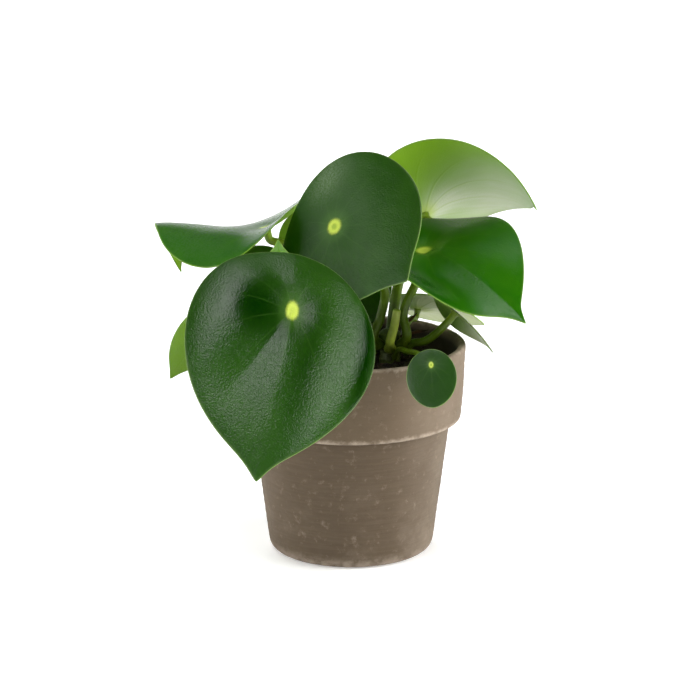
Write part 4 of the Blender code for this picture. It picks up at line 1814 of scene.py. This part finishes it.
def smooth_path(given: np.ndarray) -> np.ndarray:
    """Lay a smooth curve through points.

    Args:
        given: the points that it passes through.

    Returns:
        Points about a millimetre apart on the curve.
    """
    span = np.linalg.norm(np.diff(given, axis=0), axis=1)[:, None]
    slope = np.diff(given, axis=0) / span
    between = (slope[:-1] * span[1:] + slope[1:] * span[:-1]) / (span[:-1] + span[1:])
    lean = np.vstack([slope[:1], between, slope[-1:]])
    t = np.linspace(0, 1, 20, endpoint=False)[:, None]
    fine = []
    for i, reach in enumerate(span):
        fine.append((1 + 2 * t) * (1 - t) ** 2 * given[i] + t * (1 - t) ** 2 * reach * lean[i]
                    + t ** 2 * (3 - 2 * t) * given[i + 1] - t ** 2 * (1 - t) * reach * lean[i + 1])
    fine = np.vstack(fine + [given[-1:]])
    lengths = run_lengths(fine)
    stops = np.linspace(0, lengths[-1], max(12, int(lengths[-1] / 0.0009)))
    return np.stack([np.interp(stops, lengths, fine[:, axis]) for axis in range(3)], axis=1)


STEMS = (
    Stem("stem_right", (0.022, 0.008), 0.0064),
    Stem("stem_left", (-0.006, 0.014), 0.0062),
)

SMALL = {"spokes": 144, "rings": 32}

LEAVES = (
    Leaf("leaf_front_left", (-0.0315, -0.080, 0.1568), -97, -42.5, -14, 0.127, 0.109, seat=0.275,
         pointed=0.55, drip_tip=0.056, bend=16.5, back_bend=4.5, left_curl=46, right_curl=10,
         sway=-0.055, dimple=0.0035,
         pleats=Pleats(((0, 0.0), (-24, -0.55), (-90, 0.5), (-150, 0.7), (180, 0.75), (130, -0.2), (95, -0.5),
                        (55, -0.45)), fade_from=0.35, fade_to=1.0),
         shoulders=(Shoulder(-86, 50, 0.0046, 0.048), Shoulder(-155, 35, 0.0012, 0.034),
                    Shoulder(-12, 18, 0.0006, 0.0085)),
         spot_long=0.0058, spot_wide=0.0034, spot_core=0.2,
         painted_shade_patches=(Swell(0.003, -0.020, 1.0, 0.021, 0.021), Swell(0.01, 0.047, 1.0, 0.05, 0.007),
                Swell(0.034, 0.013, 0.6, 0.034, 0.008))),
    Leaf("leaf_upper", (-0.0089, -0.010, 0.1882), -54.5, -19, 60, 0.098, 0.099, seat=0.367,
         pointed=0.37, drip_tip=0.063, bend=-1, back_bend=5.5, left_curl=17, right_curl=4,
         sway=0.042, twist=-10, dimple=0.001, spot_long=0.0046, spot_wide=0.0044, spot_core=0.75,
         painted_shade_patches=(Swell(-0.024, -0.026, 1.0, 0.022, 0.018),), painted_sheen_patches=(Swell(-0.026, 0.017, 0.5, 0.010, 0.014),)),
    Leaf("leaf_left", (-0.0488, 0.039, 0.1773), 133.5, -14.5, -7, 0.125, 0.110, seat=0.25,
         pointed=0.94, drip_tip=0.07, bend=-16, back_bend=-31, hook=85, hook_from=0.467,
         left_curl=23.5, right_curl=-29, sway=-0.023, twist=39.5, dimple=0.002, age=Age.GROWN,
         painted_sheen_patches=(Swell(0.03, 0.03, 0.22, 0.06, 0.03),)),
    Leaf("leaf_back_right", (0.0424, 0.058, 0.1798), 13.5, 47, -61.5, 0.1095, 0.099, seat=0.322,
         pointed=0.59, drip_tip=0.054, bend=102, left_curl=-26, sway=0.029, twist=-14, dimple=0.006,
         age=Age.GROWN, painted_light_patches=(Swell(0.034, 0.030, 1.0, 0.030, 0.026), Swell(0.060, 0.0, 0.7, 0.03, 0.02),
                                Swell(0.010, 0.005, 0.9, 0.014, 0.012))),
    Leaf("leaf_right", (0.0412, 0.012, 0.1691), -48, -8, 11.5, 0.106, 0.0975, seat=0.30, pointed=0.7,
         drip_tip=0.07, bend=30, back_bend=-3, left_curl=-2, right_curl=-26, sway=-0.011, twist=5,
         dimple=0.0046, wave=0.0029, waves=4, wave_phase=91, age=Age.GROWN,
         swells=(Swell(0.085, 0.0, 0.001, 0.03, 0.04),),
         shoulders=(Shoulder(0, 75, 0.0015, 0.009),),
         pleats=Pleats(((10, 0.2), (-38, -1.3), (-95, 0.2), (-150, 0.0), (180, 0.0), (60, 0.2)), soft=5.0,
                       fade_from=0.5),
         painted_shade_patches=(Swell(0.026, -0.031, 1.0, 0.026, 0.016), Swell(-0.012, 0.030, 1.0, 0.034, 0.026)),
         spot_long=0.0042, spot_wide=0.0046, spot_core=0.2),
    Leaf("leaf_small_front", (0.0431, -0.071, 0.1251), -85, -63, 6, 0.0315, 0.0267, seat=0.27,
         pointed=0.1, drip_tip=0.0, bend=10, left_curl=10, right_curl=10, thick=0.001,
         spot_long=0.0017, spot_wide=0.0012, spot_core=0.8,
         painted_shade_patches=(Swell(0.0, 0.0, 0.35, 0.05, 0.05),), **SMALL),
    Leaf("leaf_low_back_right", (0.0387, 0.046, 0.1277), -5, -8, -26, 0.056, 0.054, seat=0.33,
         pointed=0.25, drip_tip=0.03, bend=16, back_bend=-8, left_curl=9, right_curl=5,
         dimple=0.003, age=Age.FRESH, painted_light_patches=(Swell(0.01, 0.0, 1.0, 0.06, 0.06),),
         swells=(Swell(0.006, -0.024, 0.002, 0.013, 0.014),), **SMALL),
    Leaf("leaf_low_right", (0.0593, 0.004, 0.1362), -13.5, -36.7, -18, 0.044, 0.048, seat=0.36,
         pointed=0.36, drip_tip=0.06, bend=16, back_bend=5, left_curl=35, thick=0.001, torn=True,
         painted_light_patches=(Swell(0.026, 0.0, 1.0, 0.016, 0.03),), spokes=288, rings=32),
    Leaf("leaf_low_left", (-0.072, 0.008, 0.1295), 177, -39, 37, 0.058, 0.058, seat=0.294,
         pointed=0.4, drip_tip=0.06, bend=24, left_curl=7, right_curl=-1, dimple=0.003,
         age=Age.GROWN, **SMALL),
    Leaf("leaf_back_left", (-0.0264, 0.066, 0.1638), 8, 4, -76, 0.048, 0.043, seat=0.33,
         pointed=0.3, drip_tip=0.05, bend=-10, dimple=0.002, age=Age.GROWN, **SMALL),
    Leaf("leaf_low_back_left", (-0.0538, 0.044, 0.1549), -100, -34, 0, 0.041, 0.038, seat=0.33,
         pointed=0.4, drip_tip=0.05, bend=12, left_curl=12, right_curl=12, dimple=0.002, **SMALL),
    Leaf("leaf_young_left", (-0.0384, -0.040, 0.1486), 95, 60, 0, 0.050, 0.030, seat=0.27,
         pointed=0.5, drip_tip=0.08, fold=8, bend=5, thick=0.001, age=Age.FRESH, **SMALL),
    Leaf("leaf_inner", (0.0057, 0.036, 0.1480), -96, -62, 0, 0.046, 0.036, seat=0.34,
         pointed=0.35, drip_tip=0.05, bend=10, left_curl=14, right_curl=14, dimple=0.003, **SMALL),
)

STALKS = (
    Stalk("stalk_upper", "stem_right", 222, 0.118, 0.0026,
          ((0.0165, 0.001, 0.1334), (0.0185, -0.002, 0.1515), (0.001, -0.011, 0.1640)), "leaf_upper"),
    Stalk("stalk_back_right", "stem_right", 85, 0.119, 0.0030,
          ((0.024, 0.0205, 0.1305), (0.0268, 0.024, 0.1466), (0.0325, 0.038, 0.1620)),
          "leaf_back_right"),
    Stalk("stalk_right", "stem_right", 318, 0.118, 0.0026,
          ((0.0295, 0.002, 0.1352), (0.0361, 0.006, 0.1514)), "leaf_right"),
    Stalk("stalk_low_back_right", "stem_right", 45, 0.115, 0.0019,
          ((0.0305, 0.022, 0.1210), (0.0345, 0.034, 0.1245)), "leaf_low_back_right", neck=0.004),
    Stalk("stalk_low_right", "stem_right", 354, 0.113, 0.0024,
          ((0.0419, 0.004, 0.1192), (0.0510, 0.002, 0.1270)), "leaf_low_right", neck=0.005),
    Stalk("stalk_front_left", "stem_right", 180, 0.112, 0.0028,
          ((0.006, 0.003, 0.1230), (-0.001, -0.020, 0.1340), (-0.013, -0.050, 0.1420)),
          "leaf_front_left"),
    Stalk("stalk_small_front", "stem_right", 290, 0.111, 0.0015,
          ((0.0315, -0.022, 0.1200), (0.039, -0.048, 0.1240)), "leaf_small_front", neck=0.005),
    Stalk("stub", "stem_right", 270, 0.117, 0.0026,
          ((0.0243, -0.0045, 0.1300), (0.0258, -0.0052, 0.1395)), end=StalkEnd.CUT),
    Stalk("stalk_left", "stem_left", 178, 0.118, 0.0026,
          ((-0.018, 0.022, 0.1360), (-0.028, 0.034, 0.1580), (-0.0385, 0.038, 0.1680)), "leaf_left",
          neck=0.006),
    Stalk("stalk_low_left", "stem_left", 205, 0.111, 0.0020,
          ((-0.030, 0.004, 0.1265), (-0.054, -0.001, 0.1280)), "leaf_low_left", neck=0.006),
    Stalk("stalk_back_left", "stem_left", 118, 0.118, 0.0022,
          ((-0.013, 0.037, 0.1300), (-0.017, 0.051, 0.1470)), "leaf_back_left"),
    Stalk("stalk_low_back_left", "stem_left", 150, 0.111, 0.0022,
          ((-0.024, 0.032, 0.1300), (-0.038, 0.044, 0.1400)), "leaf_low_back_left"),
    Stalk("stalk_young_left", "stem_left", 250, 0.114, 0.0018,
          ((-0.014, -0.002, 0.1240), (-0.030, -0.026, 0.1380)), "leaf_young_left"),
    Stalk("stalk_inner", "stem_left", 48, 0.1105, 0.0022,
          ((0.005, 0.030, 0.1135), (0.0075, 0.043, 0.1240)), "leaf_inner", neck=0.007),
    Stalk("dry_stalk_front", "stem_right", 4, 0.1185, 0.0009,
          ((0.0346, 0.007, 0.1232), (0.0437, 0.009, 0.1244)), end=StalkEnd.WITHERED),
    Stalk("dry_stalk_back", "stem_right", 25, 0.1195, 0.0009,
          ((0.0308, 0.0145, 0.1260), (0.0343, 0.019, 0.1282), (0.0378, 0.024, 0.1307)),
          end=StalkEnd.WITHERED),
)


@dataclass
class Foliage:
    """The stems with all their stalks and leaves."""

    stems: tuple[Stem, ...] = STEMS
    leaves: tuple[Leaf, ...] = LEAVES
    stalks: tuple[Stalk, ...] = STALKS
    blade_finishes: dict[Age, list[bpy.types.Material]] = field(default_factory=dict)

    def dress_stems(self) -> None:
        """Build the stems in their finish."""
        skin = StalkFinish("stem_skin", foot=(58, 52, 34), middle=(74, 84, 36), neck=(84, 100, 42),
                           roughness=0.5, ridges=0.0002).make()
        for stem in self.stems:
            add_piece(stem.name + "_skin", stem.build(), [skin], [stem.name])

    def finishes_for(self, age: Age) -> list[bpy.types.Material]:
        """Return the top, under and edge finishes of a leaf of this age.

        Args:
            age: how old the leaf is.

        Returns:
            Three materials, made once for each age.
        """
        if age not in self.blade_finishes:
            greens = GREENS[age]
            self.blade_finishes[age] = [
                BladeTopFinish(f"blade_top_{age.value}", greens).make(),
                BladeUnderFinish(f"blade_under_{age.value}", greens).make(),
                BladeEdgeFinish(f"blade_edge_{age.value}", greens).make(),
            ]
        return self.blade_finishes[age]

    def dress_leaves(self) -> None:
        """Build each blade in the finish for its age."""
        for leaf in self.leaves:
            finishes = list(self.finishes_for(leaf.age))
            if leaf.torn:
                finishes[2] = BladeEdgeFinish("blade_edge_torn", GREENS[leaf.age], brown=1.0).make()
            add_piece(leaf.name.replace("leaf_", "blade_"), leaf.build(), finishes, [leaf.name])

    def dress_stalks(self) -> None:
        """Build each stalk in its finish."""
        green = StalkFinish("stalk_skin", foot=(70, 88, 6), middle=(92, 120, 10), neck=(130, 160, 34)).make()
        cut = StalkFinish("cut_stalk_skin", foot=(110, 128, 30), middle=(160, 178, 64),
                          neck=(176, 190, 90)).make()
        dry = StalkFinish("dry_stalk_skin", foot=(78, 54, 32), middle=(96, 66, 40), neck=(60, 42, 26),
                          flecks=(140, 108, 70), roughness=0.8, ridges=0.0003).make()
        finishes = {StalkEnd.BLADE: green, StalkEnd.CUT: cut, StalkEnd.WITHERED: dry}
        stems = {stem.name: stem for stem in self.stems}
        leaves = {leaf.name: leaf for leaf in self.leaves}
        for stalk in self.stalks:
            leaf = leaves[stalk.leaf] if stalk.leaf else None
            mesh = stalk.build(stems[stalk.stem], leaf)
            add_piece(stalk.name + "_skin", mesh, [finishes[stalk.end]], [stalk.name])

    def dress(self) -> None:
        """Build the stems, the leaves and the stalks."""
        self.dress_stems()
        self.dress_leaves()
        self.dress_stalks()


# The studio


WHITE = (1.0, 1.0, 1.0, 1.0)
WATTS = 4    # for each square metre of a light whose brightness is 1


@dataclass(frozen=True)
class SoftBox:
    """A large soft light, placed by the direction that the plant sees it in.

    azimuth is counted from the front towards the right, and elevation from level, in degrees.
    """

    name: str
    azimuth: float
    elevation: float
    distance: float
    width: float
    height: float
    brightness: float
    mirrored: bool = True
    aim: Point = (0.0, 0.0, 0.15)

    def hang(self) -> None:
        """Hang the light so that its width lies level."""
        azimuth, elevation = math.radians(self.azimuth), math.radians(self.elevation)
        level = math.cos(elevation)
        facing = Vector((level * math.sin(azimuth), -level * math.cos(azimuth), math.sin(elevation)))
        across = Vector((math.cos(azimuth), math.sin(azimuth), 0.0))
        lamp = bpy.data.lights.new(self.name, "AREA")
        lamp.shape = "RECTANGLE"
        lamp.size = self.width
        lamp.size_y = self.height
        lamp.energy = WATTS * self.brightness * self.width * self.height
        holder = new_object(self.name, lamp)
        holder.matrix_world = Matrix((across, facing.cross(across), facing)).transposed().to_4x4()
        holder.location = Vector(self.aim) + self.distance * facing
        holder.visible_camera = False
        holder.visible_glossy = self.mirrored


@dataclass(frozen=True)
class Studio:
    """The camera, the lights, the pale floor and the surroundings.

    The surroundings go from bright_below to dark_above between the two rises of horizon, and grow dim
    towards the right over the two places of right_fade. Both are parts of a direction of length 1.
    """

    target: Point = (-0.0006, 0.0, 0.115)
    distance: float = 1.5
    elevation: float = 14.6
    lens: float = 136.3
    floor_radius: float = 9.0
    floor_glow: float = 0.25
    floor_gap: float = 0.0005
    horizon: tuple[float, float] = (0.03, 0.17)
    dark_above: float = 0.03
    bright_below: float = 1.8
    right_fade: tuple[float, float] = (0.5, 0.8)
    right_share: float = 0.02
    boxes: tuple[SoftBox, ...] = (
        SoftBox("right_box", 75, 29, 1.6, 1.45, 0.34, 4.3),
        SoftBox("right_fill", 76, 10, 1.7, 1.2, 1.0, 8.0, mirrored=False),
        SoftBox("left_fill", -95, -2, 1.6, 0.9, 0.6, 7.0, mirrored=False),
        SoftBox("right_front_box", 40, 20, 1.6, 0.9, 1.1, 0.9, mirrored=False),
        SoftBox("left_box", -84, 34.5, 1.5, 1.35, 0.30, 0.85),
        SoftBox("left_high_box", -84, 46, 1.5, 1.35, 0.30, 0.35),
        SoftBox("left_wall", -70, 22, 1.7, 2.1, 1.3, 0.32),
        SoftBox("left_front_box", -46, 18, 1.6, 0.9, 1.0, 3.0),
        SoftBox("front_box", -2, 26, 1.8, 1.3, 0.9, 0.4),
        SoftBox("top_box", 0, 68, 1.55, 0.46, 0.95, 4.3, aim=(0.075, 0.0, 0.15)),
        SoftBox("top_back_box", 180, 86, 1.45, 0.50, 0.40, 1.7, aim=(0.10, 0.0, 0.15)),
        SoftBox("back_box", 205, 38, 1.6, 1.4, 1.0, 3.5, mirrored=False),
    )

    def add_camera(self) -> None:
        """Place the camera at the photograph's viewing angle."""
        lens = bpy.data.cameras.new("camera")
        lens.lens = self.lens
        lens.sensor_width = 36.0
        lens.sensor_fit = "HORIZONTAL"
        lens.clip_start = 0.01
        lens.clip_end = 100.0
        camera = new_object("camera", lens)
        rise = math.radians(self.elevation)
        target = Vector(self.target)
        away = Vector((0.0, -math.cos(rise), math.sin(rise)))
        camera.location = target + away * self.distance
        camera.rotation_euler = (-away).to_track_quat("-Z", "Y").to_euler()
        bpy.context.scene.camera = camera

    def add_floor(self) -> None:
        """Lay a wide pale floor."""
        rings = [(self.floor_radius * share, 0.0) for share in (0.02, 0.1, 0.3, 0.6, 1.0)]
        rows = turned_rows(np.array(rings), 96)
        points = rows.reshape(-1, 3).tolist() + [[0.0, 0.0, 0.0]]
        mesh = bpy.data.meshes.new("floor")
        mesh.from_pydata(points, [], skin_faces(*rows.shape[:2], closed=False))
        material, wiring, shader, _ = new_material("pale_floor")
        place = wiring.here()
        tone = wiring.rise(wiring.noise(place, 9.0, 2.0), 0.3, 0.7, 0.90, 0.94)
        wiring.feed(shader.inputs["Base Color"], wiring.join(tone, tone, tone))
        shader.inputs["Roughness"].default_value = 0.95
        shader.inputs["Specular IOR Level"].default_value = 0.0
        x, y, _ = wiring.split(place)
        shader.inputs["Emission Color"].default_value = WHITE
        glow = wiring.rise(wiring.length(x, y), 0.3, 2.5, self.floor_glow, 1.0)
        wiring.feed(shader.inputs["Emission Strength"], glow)
        mesh.materials.append(material)
        floor = new_object("floor", mesh)
        floor.location = (0.0, 0.0, -self.floor_gap)

    def add_surroundings(self) -> None:
        """Set the surroundings: white where the camera sees them, and dim as a light."""
        world = bpy.data.worlds.new("surroundings")
        world.use_nodes = True
        bpy.context.scene.world = world
        wiring = Wiring(world.node_tree)
        back = world.node_tree.nodes["Background"]
        seen = wiring.node("ShaderNodeLightPath").outputs["Is Camera Ray"]
        back.inputs["Color"].default_value = WHITE
        right, _, height = wiring.split(wiring.node("ShaderNodeTexCoord").outputs["Generated"])
        low, high = self.horizon
        light = wiring.rise(height, high, low, self.dark_above, self.bright_below)
        light = wiring.times(light, wiring.rise(right, *self.right_fade, 1.0, self.right_share))
        wiring.feed(back.inputs["Strength"], wiring.larger(seen, light))

    def set_up(self) -> None:
        """Set up the whole studio."""
        self.add_camera()
        for box in self.boxes:
            box.hang()
        self.add_floor()
        self.add_surroundings()
        bpy.context.scene.view_settings.view_transform = "Standard"


def main() -> None:
    """Load the frame, dress every piece and set up the studio."""
    logging.basicConfig(level=logging.INFO, format="%(name)s: %(message)s")
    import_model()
    low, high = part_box("pot")
    studio = Studio()
    studio.set_up()
    pot = ClayPot(height=high.z - low.z, rim_radius=(high.x - low.x) / 2)
    pot.dress()
    PottingSoil(pot).dress()
    Foliage().dress()


if __name__ == "__main__":
    main()
